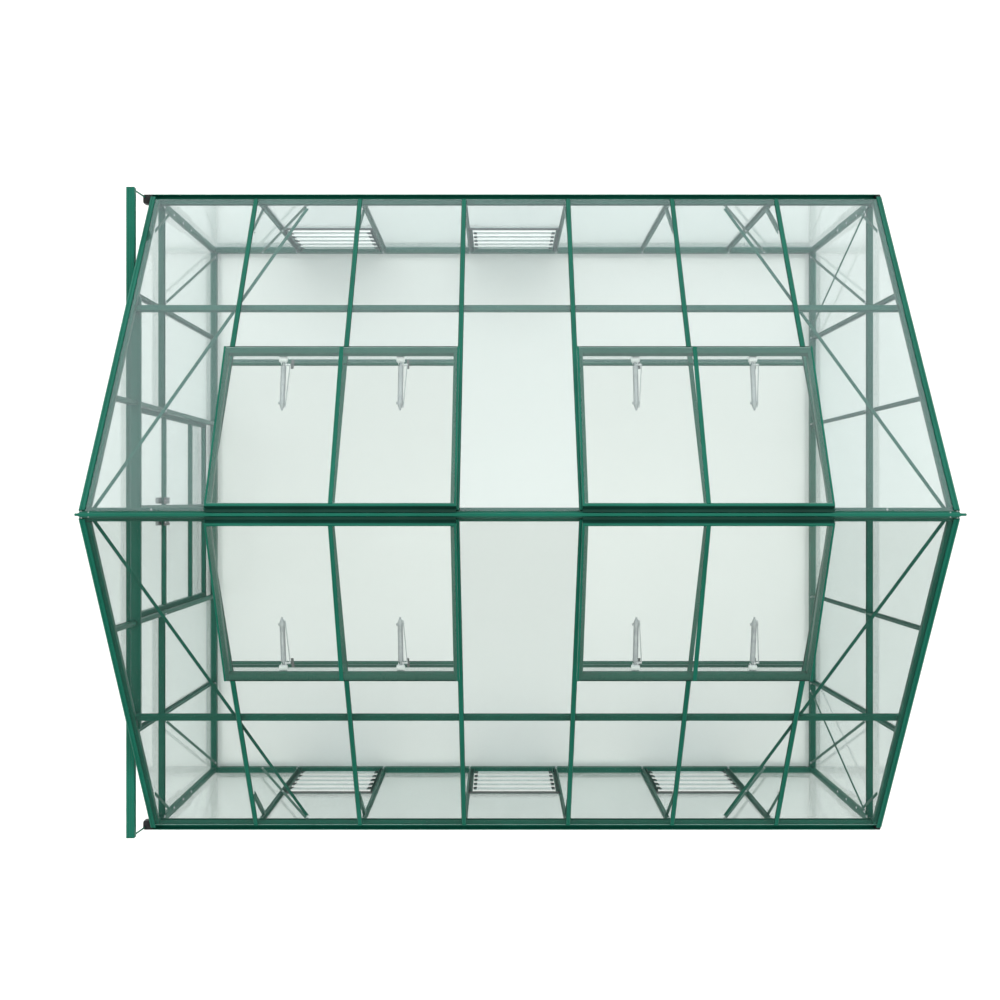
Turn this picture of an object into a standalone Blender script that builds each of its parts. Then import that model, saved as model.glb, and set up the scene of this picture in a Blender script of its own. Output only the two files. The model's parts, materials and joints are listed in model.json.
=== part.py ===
"""Apex-roof glass greenhouse with sliding double doors, ridge-hinged roof vents and louvre windows.

The ridge runs along X, the doors are in the gable at -X, and the base stands on Z = 0.
The origin is the middle of the object's box on the ground. Everything is in metres.
"""

import math

import bmesh
import bpy
from mathutils import Matrix, Vector

# The house
BAYS_LONG = 7
BAYS_WIDE = 6
BAY_LONG = 0.630  # one 610 mm pane and its share of a glazing bar
BAY_WIDE = 0.630
HALF_LENGTH = 2.215  # house centre to the outside of the base at a gable
HALF_WIDTH = 1.925  # house centre to the outside of the base at a side wall
RIDGE_HEIGHT = 2.820  # where the two planes of roof glass would meet
ROOF_SLOPE = math.radians(33.55)
DOOR_END_REACH = 2.300  # house centre to the outside of the door handles
FAR_END_REACH = 2.236  # house centre to the tip of the ridge's far end
HOUSE_X = (DOOR_END_REACH - FAR_END_REACH) / 2

# Sections
GAP = 0.0003  # between pieces that touch
GLASS = 0.003
SKIN = 0.003  # from the outside of the base to the glass
BASE_WIDTH = 0.042
BASE_HEIGHT = 0.050
BAR_WIDTH = 0.025
BAR_DEPTH = 0.0355
INSET = SKIN + GLASS + GAP  # from the outside of the base to the bars
BAR_MIDDLE = INSET + BAR_DEPTH / 2
STRIP_WIDTH = 0.020
STRIP_DEPTH = 0.0045
STRIP_INSET = INSET + BAR_DEPTH + 0.00125  # a strip bites 1 mm into the bars that it crosses
FLUSH = 0.001  # crossing bars differ by this much, so that no two faces lie in one plane

# Eaves, gables and roof
EAVE_BEAM_TOP = 1.532
EAVE_BEAM_HEIGHT = 0.047
EAVE_BEAM_OUT = 1.900
EAVE_BEAM_WIDTH = 0.025
GUTTER_BOTTOM = 1.500
GUTTER_HEIGHT = 0.047
GUTTER_OUT = 1.930
GUTTER_WALL = 0.003
GUTTER_ENDS = (-2.215, 2.210)
POST_TOP = GUTTER_BOTTOM - GAP
GABLE_BEAM_HEIGHT = 1.400
HEADER_HEIGHT = 1.960
HEADER_DEPTH = 0.054
RIDGE_WIDTH = 0.034
RIDGE_BOTTOM = 2.768
RIDGE_TOP = 2.850
RIDGE_HALF_LENGTH = 2.206
ROOF_BAR_DEPTH = 0.035
ROOF_BAR_START = 0.047  # down the slope from the ridge line
ROOF_BAR_END = 2.262
RAFTER_END = 2.285
ROOF_GLASS_START = 0.025
ROOF_GLASS_END = 2.287
PURLIN_RUN = 1.421
PURLIN_WIDTH = 0.038
TRIMMER_RUN = 0.998
TRIMMER_WIDTH = 0.036
TRIMMER_DEPTH = 0.014
BRACE_HEAD = (2.160, 0.055)  # along the house and down the slope
BRACE_FOOT = (1.267, 2.235)
KNEE_RUN = 2.050
KNEE_FOOT = 1.320

# Roof vents: each is two bays wide, between the bars of these numbers
VENT_BARS = {"west": (1, 3), "east": (4, 6)}
VENT_HINGE_Y = 0.020
VENT_HINGE_Z = 2.838
VENT_OPEN = math.radians(6.0)  # at rest the vents stand this far open
VENT_HALF_WIDTH = 0.630
VENT_START = 0.012
VENT_LENGTH = 0.974
SASH_RAIL = 0.030
SASH_TOP = 0.030
SASH_BOTTOM = -0.010
OPENER_PIVOT = (0.915, -0.036)  # down the sash and above its hinge line
OPENER_DROOP = math.radians(15.5)
OPENER_RADIUS = 0.0150
OPENER_LENGTH = 0.270

# Louvre windows: the bays counted from the door end, from 0
LOUVRE_BAYS = {"south": (1, 3, 5), "north": (1, 3)}
BLADES = 5
BLADE_PITCH = 0.120
BLADE_CHORD = 0.125
BLADE_THICKNESS = 0.004
BLADE_HALF_SPAN = 0.277
BLADE_TILT = math.radians(8.0)
LOUVRE_BOTTOM = 0.062
LOUVRE_HEAD = 0.682
LOUVRE_HEAD_DEPTH = 0.012
CHANNEL_WIDTH = 0.020
CHANNEL_DEPTH = 0.028

# Sliding doors and their track
DOOR_PLANE = 2.262  # house centre to the middle of a door
DOOR_DEPTH = 0.030
DOOR_EDGES = (0.002, 0.634)
DOOR_BOTTOM = 0.035
DOOR_TOP = 1.752
DOOR_RAIL = 0.032
DOOR_KICK = 0.430
DOOR_MIDDLE = 1.100
DOOR_OPENING_TOP = 1.790
TRACK_BOTTOM = 1.758
TRACK_HEIGHT = 0.042
TRACK_WIDTH = 0.048
TRACK_PLANE = 2.266
TRACK_HALF_LENGTH = 1.910
HANDLE_Y = 0.070
HANDLE_WIDTH = 0.040
HANDLE_HEIGHT = 0.120
HANDLE_WALL = 0.008

SIDES = {"north": 1, "south": -1}
ENDS = {"door": -1, "far": 1}
UP = Vector((0, 0, 1))


def clear_scene():
    for obj in list(bpy.data.objects):
        bpy.data.objects.remove(obj, do_unlink=True)


def new_collection(name, parent):
    made = bpy.data.collections.new(name)
    parent.children.link(made)
    return made


def principled(name, color, roughness, metallic=0.0, alpha=1.0):
    made = bpy.data.materials.new(name)
    made.use_nodes = True
    shader = made.node_tree.nodes["Principled BSDF"]
    shader.inputs["Base Color"].default_value = (*color, 1.0)
    shader.inputs["Roughness"].default_value = roughness
    shader.inputs["Metallic"].default_value = metallic
    shader.inputs["Alpha"].default_value = alpha
    return made


# ---------------------------------------------------------------- places on the house


def bay_x(bar):
    """X of a glazing bar on the long sides, counted from the door end."""
    return HOUSE_X + (bar - BAYS_LONG / 2) * BAY_LONG


def bay_y(bar):
    """Y of a glazing bar in a gable."""
    return (bar - BAYS_WIDE / 2) * BAY_WIDE


def wall_point(side, x, z, inset):
    return Vector((x, SIDES[side] * (HALF_WIDTH - inset), z))


def gable_point(end, y, z, inset):
    return Vector((HOUSE_X + ENDS[end] * (HALF_LENGTH - inset), y, z))


def roof_point(side, x, run, rise):
    """A point `run` down the slope from the ridge line and `rise` above the roof glass."""
    y = run * math.cos(ROOF_SLOPE) + rise * math.sin(ROOF_SLOPE)
    z = RIDGE_HEIGHT - run * math.sin(ROOF_SLOPE) + rise * math.cos(ROOF_SLOPE)
    return Vector((x, SIDES[side] * y, z))


def roof_normal(side):
    return Vector((0, SIDES[side] * math.sin(ROOF_SLOPE), math.cos(ROOF_SLOPE)))


def under_roof(y, below):
    """Height of the roof at y, measured `below` the glass surface at right angles to it."""
    return RIDGE_HEIGHT - abs(y) * math.tan(ROOF_SLOPE) - below / math.cos(ROOF_SLOPE)


# ---------------------------------------------------------------- shapes


def bar(name, start, end, face, width, depth, parent=None):
    """A straight bar: `width` across its face, `depth` in the direction `face`."""
    along = Vector(end) - Vector(start)
    across = Vector(face).cross(along).normalized()
    out = along.cross(across).normalized()
    mesh = bpy.data.meshes.new(name)
    shape = bmesh.new()
    bmesh.ops.create_cube(shape, size=1.0)
    bmesh.ops.scale(shape, vec=(along.length, width, depth), verts=shape.verts)
    shape.to_mesh(mesh)
    shape.free()
    made = bpy.data.objects.new(name, mesh)
    turn = Matrix((along.normalized(), across, out)).transposed().to_4x4()
    made.parent = parent
    made.matrix_basis = Matrix.Translation((Vector(start) + Vector(end)) / 2) @ turn
    return made


def keep(made, material):
    """Puts a finished piece in the object's collection."""
    made.data.materials.append(material)
    HOUSE.objects.link(made)
    return made


def unite(name, pieces, material):
    """Joins bars that run into each other into one body, which takes the first one's place."""
    body, *others = pieces
    body.name = name
    joined = new_collection(name + "_bars", HELPERS)
    for other in others:
        other.hide_render = True
        other.display_type = "WIRE"
        joined.objects.link(other)
    union = body.modifiers.new("join", "BOOLEAN")
    union.operation = "UNION"
    union.operand_type = "COLLECTION"
    union.collection = joined
    return keep(body, material)


def outline(name, rings, thickness, place, material):
    """A flat sheet: the first ring is its edge and any others are holes."""
    curve = bpy.data.curves.new(name, "CURVE")
    curve.dimensions = "2D"
    curve.fill_mode = "BOTH"
    curve.extrude = thickness / 2
    for ring in rings:
        spline = curve.splines.new("POLY")
        spline.points.add(len(ring) - 1)
        for point, (u, v) in zip(spline.points, ring):
            point.co = (u, v, 0, 1)
        spline.use_cyclic_u = True
    made = bpy.data.objects.new(name, curve)
    made.matrix_basis = place
    return keep(made, material)


def rectangle(u_low, u_high, v_low, v_high):
    return [(u_low, v_low), (u_high, v_low), (u_high, v_high), (u_low, v_high)]


def frame_matrix(origin, first, second):
    """Sheet coordinates (u, v) run along `first` and `second` from `origin`."""
    third = Vector(first).cross(Vector(second))
    turn = Matrix((Vector(first), Vector(second), third)).transposed().to_4x4()
    return Matrix.Translation(origin) @ turn


def empty(name, place, parent=None):
    made = bpy.data.objects.new(name, None)
    made.empty_display_size = 0.1
    made.parent = parent
    made.matrix_basis = place
    HOUSE.objects.link(made)
    return made


# ---------------------------------------------------------------- base


def build_base():
    outer = rectangle(HOUSE_X - HALF_LENGTH, HOUSE_X + HALF_LENGTH, -HALF_WIDTH, HALF_WIDTH)
    inner_x, inner_y = HALF_LENGTH - BASE_WIDTH, HALF_WIDTH - BASE_WIDTH
    inner = rectangle(HOUSE_X - inner_x, HOUSE_X + inner_x, -inner_y, inner_y)
    place = frame_matrix((0, 0, BASE_HEIGHT / 2), (1, 0, 0), (0, 1, 0))
    outline("base_frame", [outer, inner], BASE_HEIGHT, place, GREEN)


# ---------------------------------------------------------------- side walls


def louvre_surround(side, bay):
    """The two blade channels and the head rail that close off one bay's louvre."""
    out = Vector((0, SIDES[side], 0))
    low, high = bay_x(bay), bay_x(bay + 1)
    reach = BAR_WIDTH / 2 + CHANNEL_WIDTH / 2 - FLUSH
    pieces = []
    for label, x in (("left", low + reach), ("right", high - reach)):
        foot = wall_point(side, x, BASE_HEIGHT + GAP, BAR_MIDDLE)
        head = wall_point(side, x, LOUVRE_HEAD, BAR_MIDDLE)
        name = f"{side}_louvre_{bay}_{label}_channel"
        pieces.append(bar(name, foot, head, out, CHANNEL_WIDTH, CHANNEL_DEPTH))
    inset = INSET + FLUSH + LOUVRE_HEAD_DEPTH / 2
    start, end = wall_point(side, low, LOUVRE_HEAD, inset), wall_point(side, high, LOUVRE_HEAD, inset)
    pieces.append(bar(f"{side}_louvre_{bay}_head", start, end, out, 0.020, LOUVRE_HEAD_DEPTH))
    return pieces


def build_wall(side):
    out = Vector((0, SIDES[side], 0))
    inner_end = HALF_LENGTH - INSET - BAR_DEPTH - GAP
    beam_y = SIDES[side] * (EAVE_BEAM_OUT - EAVE_BEAM_WIDTH / 2)
    beam_z = EAVE_BEAM_TOP - EAVE_BEAM_HEIGHT / 2
    start = Vector((HOUSE_X - inner_end, beam_y, beam_z))
    end = Vector((HOUSE_X + inner_end, beam_y, beam_z))
    pieces = [bar("eave_beam", start, end, out, EAVE_BEAM_HEIGHT, EAVE_BEAM_WIDTH)]
    for number in range(1, BAYS_LONG):
        x = bay_x(number)
        foot = wall_point(side, x, BASE_HEIGHT + GAP, BAR_MIDDLE)
        head = wall_point(side, x, POST_TOP, BAR_MIDDLE)
        pieces.append(bar(f"{side}_mullion_{number}", foot, head, out, BAR_WIDTH, BAR_DEPTH))
        knee_foot = wall_point(side, x, KNEE_FOOT, 0.036)
        knee_head = roof_point(side, x, KNEE_RUN, -ROOF_BAR_DEPTH - 0.017)
        pieces.append(bar(f"{side}_knee_{number}", knee_foot, knee_head, out, 0.018, 0.024))
    for end_sign in (-1, 1):
        brace_foot = wall_point(side, HOUSE_X + end_sign * 1.836, 0.058, STRIP_INSET)
        brace_head = wall_point(side, HOUSE_X + end_sign * 1.270, 1.510, STRIP_INSET)
        pieces.append(bar(f"{side}_wall_brace", brace_foot, brace_head, out, STRIP_WIDTH, STRIP_DEPTH))
    for bay in LOUVRE_BAYS[side]:
        pieces += louvre_surround(side, bay)
    unite(f"{side}_wall_frame", pieces, GREEN)


def build_wall_glass(side):
    """One sheet the length of the wall, notched from below for each louvre."""
    left, right = HOUSE_X - 2.205, HOUSE_X + 2.205
    bottom, top = BASE_HEIGHT + GAP, POST_TOP
    ring = [(left, top), (left, bottom)]
    for bay in LOUVRE_BAYS[side]:
        low, high = bay_x(bay), bay_x(bay + 1)
        ring += [(low, bottom), (low, LOUVRE_HEAD), (high, LOUVRE_HEAD), (high, bottom)]
    ring += [(right, bottom), (right, top)]
    origin = (0, SIDES[side] * (HALF_WIDTH - SKIN - GLASS / 2), 0)
    outline(f"{side}_wall_glass", [ring], GLASS, frame_matrix(origin, (1, 0, 0), (0, 0, 1)), CLEAR_GLASS)


def build_louvre(side, bay):
    """Five glass blades, each with its origin on its pivot line."""
    middle = bay_x(bay + 0.5)
    axis = Vector((SIDES[side], 0, 0))
    for number in range(BLADES):
        z = LOUVRE_BOTTOM + BLADE_CHORD / 2 + number * BLADE_PITCH
        pivot = wall_point(side, middle, z, BAR_MIDDLE)
        half = axis * BLADE_HALF_SPAN
        tilt = Matrix.Rotation(BLADE_TILT, 3, axis)
        face = tilt @ Vector((0, SIDES[side], 0))
        name = f"{side}_louvre_{bay}_blade_{number + 1}"
        keep(bar(name, pivot - half, pivot + half, face, BLADE_CHORD, BLADE_THICKNESS), CLEAR_GLASS)


def build_gutter(side):
    """An open channel along the eave."""
    sign = SIDES[side]
    low, high = EAVE_BEAM_OUT + GAP, GUTTER_OUT
    bottom, top = GUTTER_BOTTOM, GUTTER_BOTTOM + GUTTER_HEIGHT
    profile = [
        (low, top),
        (low, bottom),
        (high, bottom),
        (high, top),
        (high - GUTTER_WALL, top),
        (high - GUTTER_WALL, bottom + GUTTER_WALL),
        (low + GUTTER_WALL, bottom + GUTTER_WALL),
        (low + GUTTER_WALL, top),
    ]
    ring = [(sign * y, z) for y, z in profile]
    start, end = GUTTER_ENDS
    place = frame_matrix((HOUSE_X + (start + end) / 2, 0, 0), (0, 1, 0), (0, 0, 1))
    outline(f"{side}_gutter", [ring], end - start, place, GREEN)


# ---------------------------------------------------------------- gables


def gable_bar(end, label, start, finish, width=BAR_WIDTH, inset=BAR_MIDDLE, depth=BAR_DEPTH):
    """A bar in a gable's plane, from (y, z) to (y, z)."""
    out = Vector((ENDS[end], 0, 0))
    first = gable_point(end, *start, inset)
    last = gable_point(end, *finish, inset)
    return bar(f"{end}_gable_{label}", first, last, out, width, depth)


def gable_posts(end, numbers):
    """Posts from the base up into the rafters."""
    posts = []
    for number in numbers:
        y = bay_y(number)
        top = under_roof(y, 0.020) if number != BAYS_WIDE / 2 else RIDGE_BOTTOM - GAP
        posts.append(gable_bar(end, f"post_{number}", (y, BASE_HEIGHT + GAP), (y, top)))
    return posts


def gable_edges(end):
    """The corner posts, their heads behind the gutters, and the rafters."""
    pieces = []
    corner_y = HALF_WIDTH - BAR_MIDDLE
    head_y = EAVE_BEAM_OUT - 0.0085
    depth = BAR_DEPTH - FLUSH
    for side, sign in SIDES.items():
        foot, top = (sign * corner_y, BASE_HEIGHT + GAP), (sign * corner_y, POST_TOP)
        pieces.append(gable_bar(end, f"{side}_corner_post", foot, top, width=BAR_DEPTH))
        low, high = (sign * head_y, POST_TOP - 0.020), (sign * head_y, 1.5425)
        pieces.append(gable_bar(end, f"{side}_post_head", low, high, width=0.0165, depth=depth - FLUSH))
        x = gable_point(end, 0, 0, BAR_MIDDLE).x
        rise = -GLASS - GAP - ROOF_BAR_DEPTH / 2
        upper = roof_point(side, x, ROOF_BAR_START, rise)
        lower = roof_point(side, x, RAFTER_END, rise)
        pieces.append(bar(f"{end}_{side}_rafter", upper, lower, (ENDS[end], 0, 0), ROOF_BAR_DEPTH, depth))
    return pieces


def corner_braces(end, crossed):
    """Flat strips across the corner bays, below the gable beam."""
    pieces = []
    for side, sign in SIDES.items():
        inner = (sign * 1.290, GABLE_BEAM_HEIGHT)
        foot = (sign * 1.850, BASE_HEIGHT + 0.010)
        strip = {"width": STRIP_WIDTH, "depth": STRIP_DEPTH, "inset": STRIP_INSET}
        pieces.append(gable_bar(end, f"{side}_brace", foot, inner, **strip))
        if crossed:
            strip["inset"] += STRIP_DEPTH / 2
            inner_foot = (sign * 1.310, BASE_HEIGHT + 0.010)
            outer = (sign * 1.870, GABLE_BEAM_HEIGHT)
            pieces.append(gable_bar(end, f"{side}_cross_brace", inner_foot, outer, **strip))
    return pieces


def build_door_gable():
    end = "door"
    beam_depth = BAR_DEPTH - FLUSH
    pieces = gable_posts(end, (1, 2, 4, 5)) + gable_edges(end)
    for side, sign in SIDES.items():
        start = (sign * (HALF_WIDTH - BAR_MIDDLE), GABLE_BEAM_HEIGHT)
        finish = (sign * BAY_WIDE, GABLE_BEAM_HEIGHT)
        pieces.append(gable_bar(end, f"{side}_beam", start, finish, depth=beam_depth))
    reach = (RIDGE_HEIGHT - HEADER_HEIGHT) / math.tan(ROOF_SLOPE) - 0.055
    inset = INSET + FLUSH + HEADER_DEPTH / 2
    start, finish = (-reach, HEADER_HEIGHT), (reach, HEADER_HEIGHT)
    pieces.append(gable_bar(end, "header", start, finish, 0.030, inset, HEADER_DEPTH))
    pieces += corner_braces(end, crossed=False)
    unite("door_gable_frame", pieces, GREEN)


def build_far_gable():
    end = "far"
    pieces = gable_posts(end, range(1, BAYS_WIDE)) + gable_edges(end)
    reach = HALF_WIDTH - BAR_MIDDLE
    start, finish = (-reach, GABLE_BEAM_HEIGHT), (reach, GABLE_BEAM_HEIGHT)
    pieces.append(gable_bar(end, "beam", start, finish, depth=BAR_DEPTH - FLUSH))
    pieces += corner_braces(end, crossed=True)
    unite("far_gable_frame", pieces, GREEN)


def build_gable_glass(end):
    """A pentagon, notched from below for the doors at the door end."""
    edge = EAVE_BEAM_OUT - 0.005
    bottom = BASE_HEIGHT + GAP
    eave, apex = under_roof(edge, GLASS + GAP), under_roof(0, GLASS + GAP)
    ring = [(-edge, eave), (-edge, bottom)]
    if end == "door":
        jamb = BAY_WIDE - BAR_WIDTH / 2
        ring += [(-jamb, bottom), (-jamb, DOOR_OPENING_TOP), (jamb, DOOR_OPENING_TOP), (jamb, bottom)]
    ring += [(edge, bottom), (edge, eave), (0, apex)]
    origin = gable_point(end, 0, 0, SKIN + GLASS / 2)
    outline(f"{end}_gable_glass", [ring], GLASS, frame_matrix(origin, (0, 1, 0), (0, 0, 1)), CLEAR_GLASS)


# ---------------------------------------------------------------- roof


def build_ridge():
    middle = (RIDGE_BOTTOM + RIDGE_TOP) / 2
    height = RIDGE_TOP - RIDGE_BOTTOM
    start = Vector((HOUSE_X - RIDGE_HALF_LENGTH, 0, middle))
    end = Vector((HOUSE_X + RIDGE_HALF_LENGTH, 0, middle))
    pieces = [bar("ridge", start, end, UP, RIDGE_WIDTH, height)]
    tip = RIDGE_TOP - 0.012
    for sign, reach in ((-1, 2.225), (1, FAR_END_REACH)):
        root = Vector((HOUSE_X + sign * (RIDGE_HALF_LENGTH - 0.010), 0, tip))
        end = Vector((HOUSE_X + sign * reach, 0, tip))
        pieces.append(bar("ridge_tip", root, end, UP, 0.014, 0.016))
    unite("ridge_bar", pieces, GREEN)


def build_roof_frame(side):
    face = roof_normal(side)
    rise = -GLASS - GAP - ROOF_BAR_DEPTH / 2
    pieces = []
    for number in range(1, BAYS_LONG):
        upper = roof_point(side, bay_x(number), ROOF_BAR_START, rise)
        lower = roof_point(side, bay_x(number), ROOF_BAR_END, rise)
        pieces.append(bar(f"{side}_roof_bar_{number}", upper, lower, face, BAR_WIDTH, ROOF_BAR_DEPTH))
    inner_end = HALF_LENGTH - INSET - BAR_DEPTH - FLUSH
    below = -ROOF_BAR_DEPTH - 0.004
    start = roof_point(side, HOUSE_X - inner_end, PURLIN_RUN, below)
    end = roof_point(side, HOUSE_X + inner_end, PURLIN_RUN, below)
    pieces.append(bar(f"{side}_purlin", start, end, face, PURLIN_WIDTH, 0.022))
    for label, (first, last) in VENT_BARS.items():
        level = -GLASS - GAP - FLUSH - TRIMMER_DEPTH / 2
        start = roof_point(side, bay_x(first), TRIMMER_RUN, level)
        end = roof_point(side, bay_x(last), TRIMMER_RUN, level)
        pieces.append(bar(f"{side}_{label}_trimmer", start, end, face, TRIMMER_WIDTH, TRIMMER_DEPTH))
    strip_rise = -GLASS - GAP - ROOF_BAR_DEPTH - 0.0015
    for sign in (-1, 1):
        head = roof_point(side, HOUSE_X + sign * BRACE_HEAD[0], BRACE_HEAD[1], strip_rise)
        foot = roof_point(side, HOUSE_X + sign * BRACE_FOOT[0], BRACE_FOOT[1], strip_rise)
        pieces.append(bar(f"{side}_wind_brace", head, foot, face, STRIP_WIDTH, STRIP_DEPTH))
    unite(f"{side}_roof_frame", pieces, GREEN)


def build_roof_glass(side):
    """One sheet for the slope, notched from the ridge for each vent."""
    left, right = HOUSE_X - 2.212, HOUSE_X + 2.212
    top, bottom = ROOF_GLASS_START, ROOF_GLASS_END
    ring = [(left, bottom), (left, top)]
    for first, last in VENT_BARS.values():
        low, high = bay_x(first), bay_x(last)
        ring += [(low, top), (low, TRIMMER_RUN), (high, TRIMMER_RUN), (high, top)]
    ring += [(right, top), (right, bottom)]
    down = Vector((0, SIDES[side] * math.cos(ROOF_SLOPE), -math.sin(ROOF_SLOPE)))
    origin = roof_point(side, 0, 0, -GLASS / 2)
    outline(f"{side}_roof_glass", [ring], GLASS, frame_matrix(origin, (1, 0, 0), down), CLEAR_GLASS)


# ---------------------------------------------------------------- roof vents and their openers


def vent_hinge(side, label):
    """An empty on the hinge line: local Y runs down the sash and local Z out of the roof."""
    first, last = VENT_BARS[label]
    x = bay_x((first + last) / 2)
    place = Matrix.Translation((x, SIDES[side] * VENT_HINGE_Y, VENT_HINGE_Z))
    turn = Matrix.Rotation(0.0 if side == "north" else math.pi, 4, "Z")
    slope = Matrix.Rotation(VENT_OPEN - ROOF_SLOPE, 4, "X")
    return empty(f"{side}_{label}_vent_hinge", place @ turn @ slope)


def build_vent(side, label):
    """A sash glazed with two panes, and the two blocks that carry its openers."""
    hinge = vent_hinge(side, label)
    name = f"{side}_{label}_vent"
    rise = (SASH_TOP + SASH_BOTTOM) / 2
    depth = SASH_TOP - SASH_BOTTOM
    rail_x = VENT_HALF_WIDTH - SASH_RAIL / 2
    end = VENT_LENGTH
    pieces = []
    for x in (-rail_x, 0.0, rail_x):
        start, finish = (x, VENT_START, rise), (x, end, rise)
        pieces.append(bar(f"{name}_stile", start, finish, UP, SASH_RAIL, depth, hinge))
    for run, width in ((VENT_START + 0.016, 0.030), (end - 0.021, 0.040)):
        start, finish = (-VENT_HALF_WIDTH + FLUSH, run, rise), (VENT_HALF_WIDTH - FLUSH, run, rise)
        pieces.append(bar(f"{name}_rail", start, finish, UP, width, depth - FLUSH, hinge))
    middle, pane_rise = (VENT_START + end) / 2, SASH_TOP - GLASS
    start, finish = (-rail_x, middle, pane_rise), (rail_x, middle, pane_rise)
    pieces.append(bar(f"{name}_pane", start, finish, UP, end - VENT_START - 0.030, GLASS, hinge))
    pivot_run, pivot_rise = OPENER_PIVOT
    for x in (-BAY_LONG / 2, BAY_LONG / 2):
        start, finish = (x, pivot_run + 0.010, SASH_BOTTOM - 0.016), (x, end - 0.010, SASH_BOTTOM - 0.016)
        pieces.append(bar(f"{name}_block", start, finish, UP, 0.040, 0.034, hinge))
    unite(name, pieces, GREEN)
    for number, x in enumerate((-BAY_LONG / 2, BAY_LONG / 2), start=1):
        build_opener(f"{name}_opener_{number}", hinge, (x, pivot_run, pivot_rise))


def build_opener(name, hinge, pivot):
    """A turned cylinder with a neck at its pivot and a pointed cap, lying up the slope."""
    place = Matrix.Translation(pivot) @ Matrix.Rotation(OPENER_DROOP, 4, "X")
    joint = empty(name + "_pivot", place, hinge)
    radius, length = OPENER_RADIUS, OPENER_LENGTH
    profile = [
        (0.0, length),
        (0.004, length - 0.004),
        (radius, length - 0.024),
        (radius, 0.024),
        (0.006, 0.018),
        (0.006, 0.002),
        (0.0, 0.002),
    ]
    mesh = bpy.data.meshes.new(name)
    points = [(x, 0.0, z) for x, z in profile]
    mesh.from_pydata(points, [(i, i + 1) for i in range(len(points) - 1)], [])
    made = bpy.data.objects.new(name, mesh)
    made.parent = joint
    made.matrix_basis = Matrix.Rotation(math.pi / 2, 4, "X")
    screw = made.modifiers.new("turn", "SCREW")
    screw.steps = 10
    screw.render_steps = 10
    screw.use_merge_vertices = True
    screw.merge_threshold = 0.0001
    screw.use_smooth_shade = True
    keep(made, SILVER)


# ---------------------------------------------------------------- doors


def door_x(offset):
    """X of a plane `offset` outside the middle of the doors."""
    return HOUSE_X - DOOR_PLANE - offset


def build_door(side):
    sign = SIDES[side]
    inner, outer = DOOR_EDGES
    rail = DOOR_RAIL
    slide = empty(f"{side}_door_slide", Matrix.Translation((door_x(0), 0, DOOR_TOP)))
    holes = []
    for low, high in ((DOOR_BOTTOM + rail, DOOR_KICK), (DOOR_KICK + 0.024, DOOR_MIDDLE - 0.014),
                      (DOOR_MIDDLE + 0.014, DOOR_TOP - rail)):
        edges = sorted((sign * (inner + rail), sign * (outer - rail)))
        holes.append(rectangle(*edges, low - DOOR_TOP, high - DOOR_TOP))
    edges = sorted((sign * inner, sign * outer))
    ring = rectangle(*edges, DOOR_BOTTOM - DOOR_TOP, 0.0)
    place = frame_matrix((0, 0, 0), (0, 1, 0), (0, 0, 1))
    frame = outline(f"{side}_door_frame", [ring, *holes], DOOR_DEPTH, place, GREEN)
    frame.parent = slide

    edges = sorted((sign * (inner + 0.006), sign * (outer - 0.006)))
    ring = rectangle(*edges, DOOR_BOTTOM + 0.010 - DOOR_TOP, -0.008)
    place = frame_matrix((DOOR_DEPTH / 2 + GAP + GLASS / 2, 0, 0), (0, 1, 0), (0, 0, 1))
    pane = outline(f"{side}_door_glass", [ring], GLASS, place, CLEAR_GLASS)
    pane.parent = slide

    reach = DOOR_END_REACH - DOOR_PLANE
    face = DOOR_DEPTH / 2 + GAP
    low, high = DOOR_MIDDLE - HANDLE_HEIGHT / 2 - DOOR_TOP, DOOR_MIDDLE + HANDLE_HEIGHT / 2 - DOOR_TOP
    wall = HANDLE_WALL
    loop = rectangle(-reach, -face, low, high)
    grip = rectangle(-reach + wall, -face - 0.003, low + wall, high - wall)
    place = frame_matrix((0, sign * HANDLE_Y, 0), (1, 0, 0), (0, 0, 1))
    handle = outline(f"{side}_door_handle", [loop, grip], HANDLE_WIDTH, place, GREY)
    handle.parent = slide


def build_track():
    """The door rail, its brackets to the gable and the struts at its ends."""
    x = HOUSE_X - TRACK_PLANE
    z = TRACK_BOTTOM + TRACK_HEIGHT / 2
    start, end = Vector((x, -TRACK_HALF_LENGTH, z)), Vector((x, TRACK_HALF_LENGTH, z))
    pieces = [bar("track", start, end, UP, TRACK_WIDTH, TRACK_HEIGHT)]
    glass_face = HOUSE_X - HALF_LENGTH + SKIN - GAP
    for sign in (-1, 1):
        for y in (sign * BAY_WIDE, sign * 2 * BAY_WIDE):
            root, tip = Vector((x, y, z)), Vector((glass_face, y, z))
            pieces.append(bar("track_bracket", root, tip, UP, 0.030, TRACK_HEIGHT - 2 * FLUSH))
        top = Vector((x + 0.014, sign * (TRACK_HALF_LENGTH - 0.008), z))
        foot = Vector((x + 0.010, sign * 1.900, GUTTER_BOTTOM + 0.020))
        pieces.append(bar("track_strut", top, foot, (1, 0, 0), 0.012, 0.010))
    unite("door_track", pieces, GREEN)


# ---------------------------------------------------------------- the whole house


clear_scene()
HOUSE = new_collection("greenhouse", bpy.context.scene.collection)
HELPERS = new_collection("joining_bars", bpy.context.scene.collection)
GREEN = principled("green_coated_aluminium", (0.014, 0.156, 0.102), 0.35)
CLEAR_GLASS = principled("clear_glass", (0.80, 0.90, 0.88), 0.03, alpha=0.25)
SILVER = principled("silver_opener", (0.78, 0.80, 0.82), 0.30, metallic=0.6)
GREY = principled("grey_plastic", (0.14, 0.15, 0.15), 0.45)

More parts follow.
